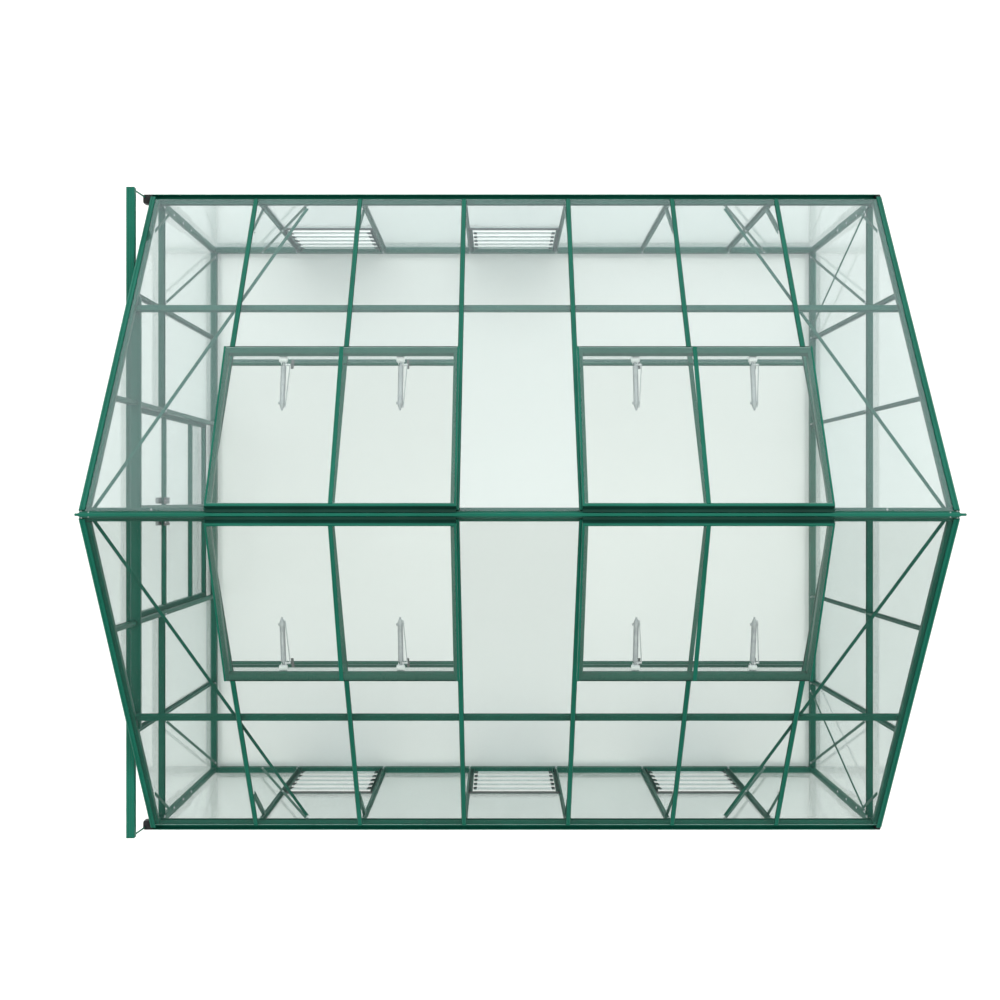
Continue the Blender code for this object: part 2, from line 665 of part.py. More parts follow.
build_base()
build_door_gable()
build_far_gable()
build_ridge()
build_track()
for end_name in ENDS:
    build_gable_glass(end_name)
for side_name in SIDES:
    build_wall(side_name)
    build_wall_glass(side_name)
    build_gutter(side_name)
    build_roof_frame(side_name)
    build_roof_glass(side_name)
    build_door(side_name)
    for vent_label in VENT_BARS:
        build_vent(side_name, vent_label)
    for louvre_bay in LOUVRE_BAYS[side_name]:
        build_louvre(side_name, louvre_bay)
bpy.context.view_layer.update()
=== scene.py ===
"""The looks of a walk-in apex-roof greenhouse: green coated bars, clear panes and small fittings.

Lengths are in metres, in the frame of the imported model: X runs along the ridge with the doors at -X.
"""

import json
import math

import bmesh
import bpy
from mathutils import Matrix, Vector


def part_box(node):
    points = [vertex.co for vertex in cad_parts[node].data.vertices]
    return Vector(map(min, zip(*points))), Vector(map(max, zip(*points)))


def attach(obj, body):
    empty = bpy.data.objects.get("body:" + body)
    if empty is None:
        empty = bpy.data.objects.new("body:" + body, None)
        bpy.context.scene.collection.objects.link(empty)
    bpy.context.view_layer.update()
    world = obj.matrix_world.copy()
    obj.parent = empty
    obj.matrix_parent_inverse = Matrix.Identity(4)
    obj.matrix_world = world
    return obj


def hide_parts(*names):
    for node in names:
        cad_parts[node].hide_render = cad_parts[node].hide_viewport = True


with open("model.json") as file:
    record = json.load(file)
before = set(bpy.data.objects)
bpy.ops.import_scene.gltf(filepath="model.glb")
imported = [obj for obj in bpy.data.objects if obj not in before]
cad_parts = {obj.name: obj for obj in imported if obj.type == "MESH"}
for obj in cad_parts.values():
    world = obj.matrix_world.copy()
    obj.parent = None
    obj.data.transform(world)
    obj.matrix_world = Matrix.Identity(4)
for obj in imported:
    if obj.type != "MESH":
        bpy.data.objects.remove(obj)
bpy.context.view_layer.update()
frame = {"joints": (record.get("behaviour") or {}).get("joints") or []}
JOINTS = {joint["name"]: joint for joint in frame["joints"]}

# ---------------------------------------------------------------- the house, as packed

BASE_LOW, BASE_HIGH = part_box("base_frame")
HOUSE_X = (BASE_LOW.x + BASE_HIGH.x) / 2
HALF_LENGTH = (BASE_HIGH.x - BASE_LOW.x) / 2
HALF_WIDTH = (BASE_HIGH.y - BASE_LOW.y) / 2
BASE_TOP = BASE_HIGH.z
BASE_WIDTH = 0.042
BAYS_LONG, BAY_LONG = 7, 0.630
BAYS_WIDE, BAY_WIDE = 6, 0.630
RIDGE_HEIGHT = 2.820
ROOF_SLOPE = math.radians(33.55)
RIDGE_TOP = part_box("ridge_bar")[1].z

# Glass and bars. An inset is measured inwards from the outer face of a wall or gable.
GLASS = 0.003
SKIN = 0.003
PANE_EASE = 0.002
INSET = 0.0063
BAR_WIDTH, BAR_DEPTH = 0.025, 0.0355
CAP_WIDTH = BAR_WIDTH - 0.001
BAR_MIDDLE = INSET + BAR_DEPTH / 2
INNER_FACE = INSET + BAR_DEPTH

# Walls and gables.
POST_TOP = 1.4997
EAVE_BEAM_OUT, EAVE_BEAM_HEIGHT = 1.900, 1.5085
GABLE_BEAM_HEIGHT = 1.400
HEADER_HEIGHT = 1.960
KNEE_FOOT, KNEE_RUN = 1.320, 2.050
LOUVRE_HEAD = 0.682

# Roof. A run is measured down the slope from the ridge line, and a rise upwards from the glass.
HINGE_HEIGHT = 2.838
ROOF_BAR_DEPTH, ROOF_BAR_RISE = 0.035, -0.0033
PURLIN_RUN, TRIMMER_RUN = 1.421, 0.998
ROOF_BAR_END, RAFTER_END, CAP_END, PANE_END, VERGE_END = 2.262, 2.278, 2.270, 2.272, 2.290

VENT_BARS = {"west": (1, 3), "east": (4, 6)}
LOUVRE_BAYS = {"south": (1, 3, 5), "north": (1, 3)}
BLADES = 5
SIDES = {"north": 1, "south": -1}
ENDS = {"door": -1, "far": 1}
UP = Vector((0, 0, 1))


def bay_x(bar):
    """X of a bar of the long walls and the roof, counted from the door end."""
    return HOUSE_X + (bar - BAYS_LONG / 2) * BAY_LONG


def bay_y(bar):
    """Y of a bar of the gables, counted from the south."""
    return (bar - BAYS_WIDE / 2) * BAY_WIDE


def wall_point(side, x, z, inset):
    """A point of a long wall, `inset` from its outer face."""
    return Vector((x, SIDES[side] * (HALF_WIDTH - inset), z))


def gable_point(end, y, z, inset):
    """A point of a gable, `inset` from its outer face."""
    return Vector((HOUSE_X + ENDS[end] * (HALF_LENGTH - inset), y, z))


def roof_point(side, x, run, rise):
    """A point `run` down the slope from the ridge line and `rise` above the roof glass."""
    y = run * math.cos(ROOF_SLOPE) + rise * math.sin(ROOF_SLOPE)
    z = RIDGE_HEIGHT - run * math.sin(ROOF_SLOPE) + rise * math.cos(ROOF_SLOPE)
    return Vector((x, SIDES[side] * y, z))


def roof_normal(side):
    """The direction that a roof slope faces."""
    return Vector((0, SIDES[side] * math.sin(ROOF_SLOPE), math.cos(ROOF_SLOPE)))


def under_roof(y, below):
    """Height at y of a line `below` the roof glass."""
    return RIDGE_HEIGHT - abs(y) * math.tan(ROOF_SLOPE) - below / math.cos(ROOF_SLOPE)


# ---------------------------------------------------------------- materials


def new_material(name):
    """A material, with its nodes, its links and its shader."""
    made = bpy.data.materials.new(name)
    made.use_nodes = True
    nodes = made.node_tree.nodes
    return made, nodes, made.node_tree.links, nodes["Principled BSDF"]


def noise(nodes, links, scale, detail, stretch):
    """Noise in the object's own metres."""
    place = nodes.new("ShaderNodeTexCoord")
    mapping = nodes.new("ShaderNodeMapping")
    mapping.inputs["Scale"].default_value = stretch
    texture = nodes.new("ShaderNodeTexNoise")
    texture.inputs["Scale"].default_value = scale
    texture.inputs["Detail"].default_value = detail
    links.new(place.outputs["Object"], mapping.inputs["Vector"])
    links.new(mapping.outputs["Vector"], texture.inputs["Vector"])
    return texture.outputs["Fac"]


def remap(nodes, links, value, low, high, low_out, high_out, smooth=False):
    """Takes a value from one range to another, and holds it at both ends."""
    node = nodes.new("ShaderNodeMapRange")
    node.interpolation_type = "SMOOTHSTEP" if smooth else "LINEAR"
    for key, number in (("From Min", low), ("From Max", high), ("To Min", low_out), ("To Max", high_out)):
        node.inputs[key].default_value = number
    links.new(value, node.inputs["Value"])
    return node.outputs["Result"]


def blend(nodes, links, factor, first, second):
    """A colour between two."""
    node = nodes.new("ShaderNodeMix")
    node.data_type = "RGBA"
    links.new(factor, node.inputs["Factor"])
    node.inputs["A"].default_value = (*first, 1)
    node.inputs["B"].default_value = (*second, 1)
    return node.outputs["Result"]


def coated(name, dark, light, roughness, grain, bump, metallic=0.0, stretch=(1, 1, 1), gleam=0.5):
    """A painted, moulded or drawn surface: two near tones, uneven gloss and a fine grain."""
    made, nodes, links, shader = new_material(name)
    broad = noise(nodes, links, 3.0, 4.0, stretch)
    fine = noise(nodes, links, grain, 2.0, stretch)
    spread = remap(nodes, links, broad, 0.3, 0.7, 0.0, 1.0)
    links.new(blend(nodes, links, spread, dark, light), shader.inputs["Base Color"])
    uneven = remap(nodes, links, fine, 0.3, 0.7, roughness - 0.06, roughness + 0.06)
    links.new(uneven, shader.inputs["Roughness"])
    relief = nodes.new("ShaderNodeBump")
    relief.inputs["Strength"].default_value = bump
    relief.inputs["Distance"].default_value = 0.0004
    links.new(fine, relief.inputs["Height"])
    links.new(relief.outputs["Normal"], shader.inputs["Normal"])
    shader.inputs["Metallic"].default_value = metallic
    shader.inputs["Specular IOR Level"].default_value = gleam
    return made


def glass(name, tint, haze, film=(0.80, 0.86, 0.87), roughness=0.05, mirror=0.93):
    """Thin clear glass: what is behind it shows through, under a faint film and the pane's own gloss."""
    gloss_ahead, gloss_grazing = 0.055, 0.75
    made, nodes, links, shader = new_material(name)
    shader.inputs["Base Color"].default_value = (*film, 1)
    shader.inputs["Metallic"].default_value = mirror
    patches = noise(nodes, links, 2.2, 3.0, (1.0, 1.0, 0.35))
    uneven = remap(nodes, links, patches, 0.3, 0.7, roughness, roughness + 0.10)
    links.new(uneven, shader.inputs["Roughness"])
    clear = nodes.new("ShaderNodeBsdfTransparent")
    clear.inputs["Color"].default_value = (*tint, 1)
    facing = nodes.new("ShaderNodeLayerWeight")
    facing.inputs["Blend"].default_value = 0.5
    grazing = nodes.new("ShaderNodeMath")
    grazing.operation = "POWER"
    grazing.inputs[1].default_value = 5.0
    links.new(facing.outputs["Facing"], grazing.inputs[0])
    shine = remap(nodes, links, grazing.outputs["Value"], 0.0, 1.0, gloss_ahead, gloss_grazing)
    film_share = remap(nodes, links, patches, 0.3, 0.7, haze * 0.7, haze * 1.3)
    total = nodes.new("ShaderNodeMath")
    total.operation = "ADD"
    total.use_clamp = True
    links.new(shine, total.inputs[0])
    links.new(film_share, total.inputs[1])
    both = nodes.new("ShaderNodeMixShader")
    links.new(total.outputs["Value"], both.inputs["Fac"])
    links.new(clear.outputs["BSDF"], both.inputs[1])
    links.new(shader.outputs["BSDF"], both.inputs[2])
    links.new(both.outputs["Shader"], nodes["Material Output"].inputs["Surface"])
    return made


GREEN = coated("green_coat", (0.002, 0.090, 0.058), (0.003, 0.112, 0.074), 0.40, 900.0, 0.25, gleam=0.17)
# Deep green: partly the real seal strip under the bar caps, partly painted shade that darkens the cap edges
# and the vent's end lip, back strip and hinge hook where shade falls.
SEAL_AND_PAINTED_SHADE_GREEN = coated("deep_green_seal_and_painted_shade", (0.002, 0.026, 0.018), (0.003, 0.040, 0.028), 0.60, 600.0, 0.4, gleam=0.15)
BLACK = coated("black_plastic", (0.008, 0.009, 0.010), (0.014, 0.015, 0.016), 0.45, 700.0, 0.3, gleam=0.15)
GREY = coated("grey_plastic", (0.085, 0.095, 0.095), (0.12, 0.13, 0.13), 0.42, 700.0, 0.3)
WHITE = coated("white_plastic", (0.84, 0.87, 0.87), (0.90, 0.92, 0.92), 0.38, 700.0, 0.2)
STEEL = coated("bright_steel", (0.62, 0.64, 0.66), (0.78, 0.80, 0.82), 0.28, 400.0, 0.2, metallic=0.9)
SILVER = coated(
    "silver_anodised", (0.38, 0.40, 0.42), (0.49, 0.515, 0.53), 0.32, 500.0, 0.15,
    metallic=0.4, stretch=(1, 12, 12)
)
ROOF_GLASS = glass("roof_glass", (0.895, 0.914, 0.908), 0.004)
WALL_GLASS = glass("wall_glass", (0.895, 0.916, 0.912), 0.004)
BLADE_GLASS = glass(
    "blade_glass", (0.90, 0.94, 0.95), 0.72, film=(0.82, 0.86, 0.87), roughness=0.3, mirror=0.1
)
EDGE = coated("glass_edge", (0.24, 0.40, 0.37), (0.31, 0.48, 0.44), 0.20, 300.0, 0.1)

# ---------------------------------------------------------------- shapes

HEX = 6
ROUND = 14
SHARP_EDGE = math.radians(40.0)


def rounded(width, depth, radius, middle=(0.0, 0.0)):
    """A rectangle with rounded corners, as (across, out) pairs."""
    points = []
    for corner, (a, o) in enumerate(((1, -1), (1, 1), (-1, 1), (-1, -1))):
        for step in (0.0, 0.5, 1.0):
            angle = math.radians(-90 + 90 * (corner + step))
            across = a * (width / 2 - radius) + radius * math.cos(angle) + middle[0]
            out = o * (depth / 2 - radius) + radius * math.sin(angle) + middle[1]
            points.append((across, out))
    return points


def mirrored(right):
    """Completes the right half of a section, given from its lowest point to its highest."""
    return right + [(-across, out) for across, out in reversed(right)]


def glazing_bar(width, depth):
    """A tee with its flange on the glass and a screw channel at the foot of its web."""
    half = width / 2
    return mirrored([
        (0.0022, -depth), (0.0022, 0.004 - depth), (0.0052, 0.004 - depth), (0.0058, 0.0046 - depth),
        (0.0058, 0.0100 - depth), (0.0050, 0.0110 - depth), (0.0016, 0.0122 - depth), (0.0014, -0.0050),
        (0.0022, -0.0034), (half - 0.0010, -0.0030), (half, -0.0022), (half, -0.0006), (half - 0.0006, 0.0),
    ])


def channel(width, depth, wall):
    """A channel that opens inwards."""
    half = width / 2
    lip = 0.0006
    return [
        (half - wall, -depth), (half - lip, -depth), (half, lip - depth), (half, -lip), (half - lip, 0.0),
        (lip - half, 0.0), (-half, -lip), (-half, lip - depth), (lip - half, -depth), (wall - half, -depth),
        (wall - half, -wall), (half - wall, -wall),
    ]


def bar_cap(width, height):
    """The strip that clips over a glazing bar: rounded shoulders and a shallow groove."""
    half = width / 2
    return mirrored([
        (half - 0.0008, 0.0), (half, 0.0008), (half, height * 0.45), (half - 0.0014, height * 0.80),
        (half - 0.0042, height * 0.97), (half - 0.0070, height), (0.0030, height), (0.0020, height * 0.70),
    ])


class Piece:
    """Shapes gathered into one object that rides on a CAD body."""

    def __init__(self, name, body, materials, slot):
        self.name = name
        self.body = body
        self.materials = materials
        self.slot = slot
        self.mesh = bmesh.new()
        self.place = Matrix.Identity(4)

    def skin(self, rings, material, ends=True):
        """Skins rings of points into one closed surface."""
        made = []
        count = len(rings[0])
        for first, second in zip(rings, rings[1:]):
            for i in range(count):
                j = (i + 1) % count
                made.append(self.mesh.faces.new((first[i], first[j], second[j], second[i])))
        if ends:
            made.append(self.mesh.faces.new(rings[0][::-1]))
            made.append(self.mesh.faces.new(rings[-1]))
        for face in made:
            face.material_index = material
        return made

    def ring(self, points):
        """New vertices at points given in the piece's own place."""
        return [self.mesh.verts.new(self.place @ Vector(point)) for point in points]

    def bar(self, section, start, end, face, material=0):
        """Runs a section straight from start to end, its `out` towards face."""
        start, end, face = Vector(start), Vector(end), Vector(face)
        along = (end - start).normalized()
        across = face.cross(along).normalized()
        out = along.cross(across)
        rings = [self.ring(spot + across * a + out * o for a, o in section) for spot in (start, end)]
        self.skin(rings, material)

    def block(self, middle, size, material=0, radius=0.002, axes=None):
        """A box with rounded edges along its first axis and chamfered ends."""
        first, second, third = axes or (Vector((1, 0, 0)), Vector((0, 1, 0)), Vector((0, 0, 1)))
        length, width, depth = size
        middle = Vector(middle)
        rings = []
        full = 0.5 - radius * 0.6 / length
        for step, shrink in ((-0.5, radius), (-full, 0), (full, 0), (0.5, radius)):
            spot = middle + first * length * step
            outline = rounded(width - shrink, depth - shrink, min(radius, width / 2.2, depth / 2.2))
            rings.append(self.ring(spot + second * a + third * o for a, o in outline))
        self.skin(rings, material)

    def turned(self, profile, foot, axis, material=0, steps=ROUND):
        """Turns (radius, height) pairs about an axis. The first and last radius aren't 0."""
        axis = Vector(axis).normalized()
        first = axis.orthogonal().normalized()
        second = axis.cross(first)
        turn = [2 * math.pi * i / steps for i in range(steps)]
        spokes = [first * math.cos(t) + second * math.sin(t) for t in turn]
        rings = [
            self.ring(Vector(foot) + axis * height + spoke * radius for spoke in spokes)
            for radius, height in profile
        ]
        self.skin(rings, material)

    def bolt(self, spot, axis, material=0, size=1.0):
        """A washer, a hexagon and a rounded end."""
        washer = [(0.0075, 0.0), (0.0078, 0.0004), (0.0075, 0.0013)]
        self.turned([(r * size, h * size) for r, h in washer], spot, axis, material)
        head = [(0.0056, 0.0012), (0.0056, 0.0044), (0.0048, 0.0052)]
        self.turned([(r * size, h * size) for r, h in head], spot, axis, material, HEX)

    def pane(self, corners, out, thickness=GLASS):
        """A flat pane from its outer corners, with its cut edges in the second material."""
        out = Vector(out)
        outer = self.ring(corners)
        inner = self.ring(Vector(corner) - out * thickness for corner in corners)
        faces = self.skin([inner, outer], 0)
        for face in faces[:-2]:
            face.material_index = 1

    def done(self, replaces=()):
        """Makes the object, hangs it on its body's empty, and hides the CAD nodes that it stands for."""
        bmesh.ops.recalc_face_normals(self.mesh, faces=self.mesh.faces)
        data = bpy.data.meshes.new(self.name)
        self.mesh.to_mesh(data)
        self.mesh.free()
        data.shade_smooth()
        data.set_sharp_from_angle(angle=SHARP_EDGE)
        for material in self.materials:
            data.materials.append(material)
        made = bpy.data.objects.new(self.name, data)
        bpy.context.scene.collection.objects.link(made)
        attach(made, self.body)
        if replaces:
            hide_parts(*replaces)
        return made


# ---------------------------------------------------------------- base, ridge and gutters


def build_base():
    """One mitred ring with a drip groove outside and a rolled inner edge."""
    piece = Piece("base_ring", "house", [GREEN, STEEL], "green_frame")
    section = [
        (0.0, 0.0), (0.0, 0.013), (0.0014, 0.0145), (0.0014, 0.0165), (0.0, 0.018), (0.0, 0.0485),
        (0.0015, BASE_TOP), (BASE_WIDTH - 0.006, BASE_TOP), (BASE_WIDTH - 0.004, BASE_TOP - 0.0025),
        (BASE_WIDTH - 0.001, BASE_TOP - 0.003), (BASE_WIDTH, BASE_TOP - 0.004), (BASE_WIDTH, 0.0),
    ]
    rings = []
    for x, y in ((1, 1), (-1, 1), (-1, -1), (1, -1), (1, 1)):
        corner = [(HOUSE_X + x * (HALF_LENGTH - inset), y * (HALF_WIDTH - inset), z) for inset, z in section]
        rings.append(piece.ring(corner) if len(rings) < 4 else rings[0])
    piece.skin(rings, 0, ends=False)
    bolt_reach = HALF_LENGTH - 0.06
    for number in range(BAYS_LONG + 1):
        for sign in (-1, 1):
            x = min(max(bay_x(number), HOUSE_X - bolt_reach), HOUSE_X + bolt_reach)
            piece.bolt((x, sign * (HALF_WIDTH - BASE_WIDTH), 0.026), (0, -sign, 0), 1)
    piece.done(replaces=["base_frame"])


def build_ridge():
    """The bar along the top, its two ends and the bolts beside it."""
    low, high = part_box("ridge_bar")
    bottom = low.z
    middle = (HINGE_HEIGHT + bottom) / 2
    crest = RIDGE_TOP - middle
    piece = Piece("ridge", "house", [GREEN, STEEL], "green_frame")
    section = mirrored([
        (0.0110, bottom - middle), (0.0118, bottom - middle + 0.001), (0.0118, -0.0170), (0.0340, -0.0150),
        (0.0350, -0.0142), (0.0350, -0.0130), (0.0145, -0.0105), (0.0145, 0.0230), (0.0135, 0.0245),
        (0.0105, 0.0250), (0.0088, 0.0270), (0.0085, crest - 0.0035), (0.0068, crest - 0.0008),
        (0.0045, crest), (0.0012, crest - 0.0006),
    ])
    reach = 2.206
    piece.bar(section, (HOUSE_X - reach, 0, middle), (HOUSE_X + reach, 0, middle), UP)
    for tip, root in ((low.x, HOUSE_X - reach + 0.004), (high.x, HOUSE_X + reach - 0.004)):
        length = abs(root - tip)
        piece.block(((tip + root) / 2, 0, RIDGE_TOP - 0.012), (length, 0.014, 0.016), 0, 0.005)
        end = math.copysign(1.0, tip - HOUSE_X)
        for sign in (-1, 1):
            piece.bolt((HOUSE_X + end * 2.160, sign * 0.0115, 2.8275), (0, 0, 1), 1, 0.45)
        piece.bolt((HOUSE_X + end * 1.855, 0.0255, 2.7915), (0, 0, 1), 1, 0.75)
    piece.done(replaces=["ridge_bar"])


def build_gutter(side):
    """A channel with a rolled lip, plain collars at its ends and a black cap at the door end."""
    low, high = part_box(f"{side}_gutter")
    sign = SIDES[side]
    inner, outer = (low.y, high.y) if sign > 0 else (high.y, low.y)
    wall = 0.0022
    width = abs(outer - inner)
    bottom, height = low.z, high.z - low.z
    profile = [
        (0.0, height), (0.0, 0.003), (0.0009, 0.0009), (0.003, 0.0), (width - 0.006, 0.0),
        (width - 0.0018, 0.0018), (width, 0.006), (width, 0.043), (width - 0.0008, 0.0465),
        (width - 0.003, 0.047), (width - 0.0048, 0.0460), (width - 0.0050, 0.0438),
        (width - 0.0035, 0.0430), (width - wall, 0.0415), (width - wall, 0.0072),
        (width - 0.0068, 0.0026), (wall + 0.0012, wall), (wall, wall + 0.0012), (wall, height),
    ]
    piece = Piece(f"{side}_eaves_gutter", "house", [GREEN, BLACK], "green_frame")
    rings = [piece.ring((x, inner + sign * a, bottom + o) for a, o in profile) for x in (low.x, high.x)]
    piece.skin(rings, 0)
    piece.block((low.x - 0.019, outer - sign * 0.0295, bottom + 0.026), (0.058, 0.058, 0.062), 1, 0.012)
    for x, length in ((low.x - 0.004, 0.012), (high.x - 0.011, 0.030)):
        spot = (x, (inner + outer) / 2 - sign * 0.0008, bottom + 0.0195)
        piece.block(spot, (length, width - 0.0005, 0.058), 1, 0.006)
    piece.done(replaces=[f"{side}_gutter"])


# ---------------------------------------------------------------- walls

STRIP = rounded(0.020, 0.0030, 0.0008)
STRIP_INSET = INNER_FACE + 0.0012
WALL_PANE_REACH = 2.205
LOUVRE_CHANNEL_WIDTH, LOUVRE_CHANNEL_DEPTH = 0.020, 0.028
LOUVRE_HEAD_WIDTH, LOUVRE_HEAD_DEPTH = 0.020, 0.012
BLADE_TILT = math.radians(8.0)
BLADE_CHORD, BLADE_THICKNESS = 0.125, 0.0036


def add_cap(piece, start, end, out):
    """The cap over a wall or gable bar, with a seal strip that shows at its edges, deep green as a real seal
    with painted shade along the cap edges.
    """
    lift = out * -0.0005
    piece.bar(bar_cap(CAP_WIDTH, 0.0048), start, end, out)
    # The seal strip: a real seal, coloured deep green as painted shade along both cap edges.
    piece.bar(rounded(BAR_WIDTH + 0.003, 0.0009, 0.0004), start + lift, end + lift, out, 1)


def build_wall_bars(side):
    """Mullions, eave beam, knee braces and diagonal strips."""
    out = Vector((0, SIDES[side], 0))
    piece = Piece(f"{side}_wall_bars", "house", [GREEN, STEEL, GREY], "green_frame")
    tee = glazing_bar(BAR_WIDTH, BAR_DEPTH)
    foot_z = BASE_TOP + 0.0003
    beam_end = HALF_LENGTH - INNER_FACE - 0.0003
    beam = channel(0.047, 0.025, 0.0025)
    ends = [(HOUSE_X + x, SIDES[side] * EAVE_BEAM_OUT, EAVE_BEAM_HEIGHT) for x in (-beam_end, beam_end)]
    piece.bar(beam, *ends, out)
    angle = [
        (-0.009, -0.012), (-0.0065, -0.012), (-0.0065, 0.0095),
        (0.009, 0.0095), (0.009, 0.012), (-0.009, 0.012),
    ]
    for number in range(1, BAYS_LONG):
        x = bay_x(number)
        piece.bar(tee, wall_point(side, x, foot_z, INSET), wall_point(side, x, POST_TOP, INSET), out)
        knee_foot = wall_point(side, x, KNEE_FOOT, 0.036)
        knee_head = roof_point(side, x, KNEE_RUN, -ROOF_BAR_DEPTH - 0.017)
        piece.bar(angle, knee_foot, knee_head, out)
        inward = (knee_head - knee_foot).cross(Vector((1, 0, 0))).normalized()
        inward = inward if inward.y * SIDES[side] < 0 else -inward
        for share in (0.07, 0.93):
            piece.bolt(knee_foot.lerp(knee_head, share) + inward * 0.012 + Vector((0.001, 0, 0)), inward, 1)
        for z in (foot_z + 0.020, 1.440):
            piece.bolt(wall_point(side, x - 0.004, z, INNER_FACE), -out, 1, 0.8)
    for sign in (-1, 1):
        brace_foot = wall_point(side, HOUSE_X + sign * 1.836, 0.058, STRIP_INSET)
        brace_head = wall_point(side, HOUSE_X + sign * 1.270, 1.500, STRIP_INSET)
        piece.bar(STRIP, brace_foot, brace_head, out)
        for share in (0.015, 0.5, 0.975):
            piece.bolt(brace_foot.lerp(brace_head, share) - out * 0.0015, -out, 1)
    for bay in LOUVRE_BAYS[side]:
        add_louvre_surround(piece, side, bay)
    piece.done(replaces=[f"{side}_wall_frame"])


def add_louvre_surround(piece, side, bay):
    """Two side channels and a grey head rail around the blades."""
    out = Vector((0, SIDES[side], 0))
    low, high = bay_x(bay), bay_x(bay + 1)
    reach = BAR_WIDTH / 2 + LOUVRE_CHANNEL_WIDTH / 2 - 0.001
    for x in (low + reach, high - reach):
        foot, head = (wall_point(side, x, z, INSET + 0.002) for z in (BASE_TOP + 0.0003, LOUVRE_HEAD))
        piece.bar(channel(LOUVRE_CHANNEL_WIDTH, LOUVRE_CHANNEL_DEPTH, 0.0020), foot, head, out)
    start, end = (wall_point(side, x, LOUVRE_HEAD, INSET + 0.001) for x in (low, high))
    piece.bar(channel(LOUVRE_HEAD_WIDTH, LOUVRE_HEAD_DEPTH, 0.0022), start, end, out, 2)


def build_wall_caps(side):
    """The caps outside the mullions."""
    out = Vector((0, SIDES[side], 0))
    piece = Piece(f"{side}_wall_caps", "house", [GREEN, SEAL_AND_PAINTED_SHADE_GREEN], "green_frame")
    for number in range(1, BAYS_LONG):
        start = wall_point(side, bay_x(number), BASE_TOP + 0.0005, SKIN - 0.0006)
        end = wall_point(side, bay_x(number), POST_TOP - 0.002, SKIN - 0.0006)
        add_cap(piece, start, end, out)
    piece.done()


def build_wall_panes(side):
    """One pane a bay, shorter above a louvre."""
    piece = Piece(f"{side}_wall_panes", "house", [WALL_GLASS, EDGE], "clear_glass")
    for bay in range(BAYS_LONG):
        low, high = bay_x(bay) + PANE_EASE, bay_x(bay + 1) - PANE_EASE
        if bay == 0:
            low = HOUSE_X - WALL_PANE_REACH
        if bay == BAYS_LONG - 1:
            high = HOUSE_X + WALL_PANE_REACH
        bottom = LOUVRE_HEAD + 0.001 if bay in LOUVRE_BAYS[side] else BASE_TOP + 0.0008
        corners = [(low, bottom), (high, bottom), (high, POST_TOP), (low, POST_TOP)]
        piece.pane([wall_point(side, x, z, SKIN) for x, z in corners], Vector((0, SIDES[side], 0)))
    piece.done(replaces=[f"{side}_wall_glass"])


def build_blade(side, bay, number):
    """A glass blade, its two end clips and their pins, all on the blade's own body."""
    node = f"{side}_louvre_{bay}_blade_{number}"
    pivot = Vector(JOINTS[node + "_pivot"]["pos_m"])
    axis = Vector(JOINTS[node + "_pivot"]["axis"])
    low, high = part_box(node)
    tilt = Matrix.Rotation(BLADE_TILT, 3, axis)
    out = tilt @ Vector((0, SIDES[side], 0))
    upright = tilt @ UP
    half = (high.x - low.x) / 2
    piece = Piece(f"{node}_glass", node, [BLADE_GLASS, EDGE, BLACK], "clear_glass")
    corners = [
        pivot + Vector((a * (half - 0.001), 0, 0)) + upright * b * BLADE_CHORD / 2 + out * BLADE_THICKNESS / 2
        for a, b in ((-1, -1), (1, -1), (1, 1), (-1, 1))
    ]
    piece.pane(corners, out, BLADE_THICKNESS)
    for sign in (-1, 1):
        spot = pivot + Vector((sign * (half - 0.011), 0, 0))
        axes = (upright, Vector((1, 0, 0)), out)
        piece.block(spot, (BLADE_CHORD - 0.004, 0.021, 0.0085), 2, 0.002, axes)
        foot = pivot + Vector((sign * (half - 0.004), 0, 0))
        piece.turned([(0.006, 0.0), (0.006, 0.005), (0.0045, 0.006)], foot, (sign, 0, 0), 2)
    piece.done(replaces=[node])


# ---------------------------------------------------------------- gables


RAFTER_WIDTH, RAFTER_INSET = 0.043, 0.0285
GABLE_PANE_REACH = 1.895
HEADER_PANE_BOTTOM = 1.790
GABLE_BARS = {"door": (1, 2, 4, 5), "far": (1, 2, 3, 4, 5)}
JAMBS = (2, 4)


def gable_line(piece, end, section, start, finish, inset):
    """A bar in a gable, between two (y, z) places."""
    out = Vector((ENDS[end], 0, 0))
    piece.bar(section, gable_point(end, *start, inset), gable_point(end, *finish, inset), out)


def build_gable_bars(end):
    """Posts, corner posts, rafters, beam and, over the doors, a header."""
    out = Vector((ENDS[end], 0, 0))
    piece = Piece(f"{end}_gable_bars", "house", [GREEN, STEEL], "green_frame")
    foot = BASE_TOP + 0.0003
    for number in GABLE_BARS[end]:
        y = bay_y(number)
        top = under_roof(y, 0.020) if number != 3 else 2.7675
        section = glazing_bar(BAR_WIDTH, BAR_DEPTH)
        if end == "door" and number in JAMBS:
            section = rounded(BAR_WIDTH, BAR_DEPTH, 0.002, (0, -BAR_DEPTH / 2))
        gable_line(piece, end, section, (y, foot), (y, top), INSET)
        for z in (foot + 0.020, GABLE_BEAM_HEIGHT - 0.026):
            piece.bolt(gable_point(end, y - 0.004, z, INNER_FACE), -out, 1, 0.8)
    for side in SIDES:
        add_gable_corner(piece, end, side, foot)
    beam = channel(BAR_WIDTH + 0.010, BAR_DEPTH - 0.001, 0.0022)
    reach = HALF_WIDTH - INNER_FACE + 0.004
    spans = [(-reach, reach)]
    if end == "door":
        spans = [(sign * reach, sign * 0.640) for sign in (-1, 1)]
        half = (RIDGE_HEIGHT - HEADER_HEIGHT) / math.tan(ROOF_SLOPE) - 0.060
        header = rounded(0.030, 0.054, 0.003, (0, -0.027))
        gable_line(piece, end, header, (-half, HEADER_HEIGHT), (half, HEADER_HEIGHT), INSET + 0.001)
    for start, finish in spans:
        gable_line(piece, end, beam, (start, GABLE_BEAM_HEIGHT), (finish, GABLE_BEAM_HEIGHT), INSET + 0.0005)
    add_gable_braces(piece, end)
    piece.done(replaces=[f"{end}_gable_frame"])


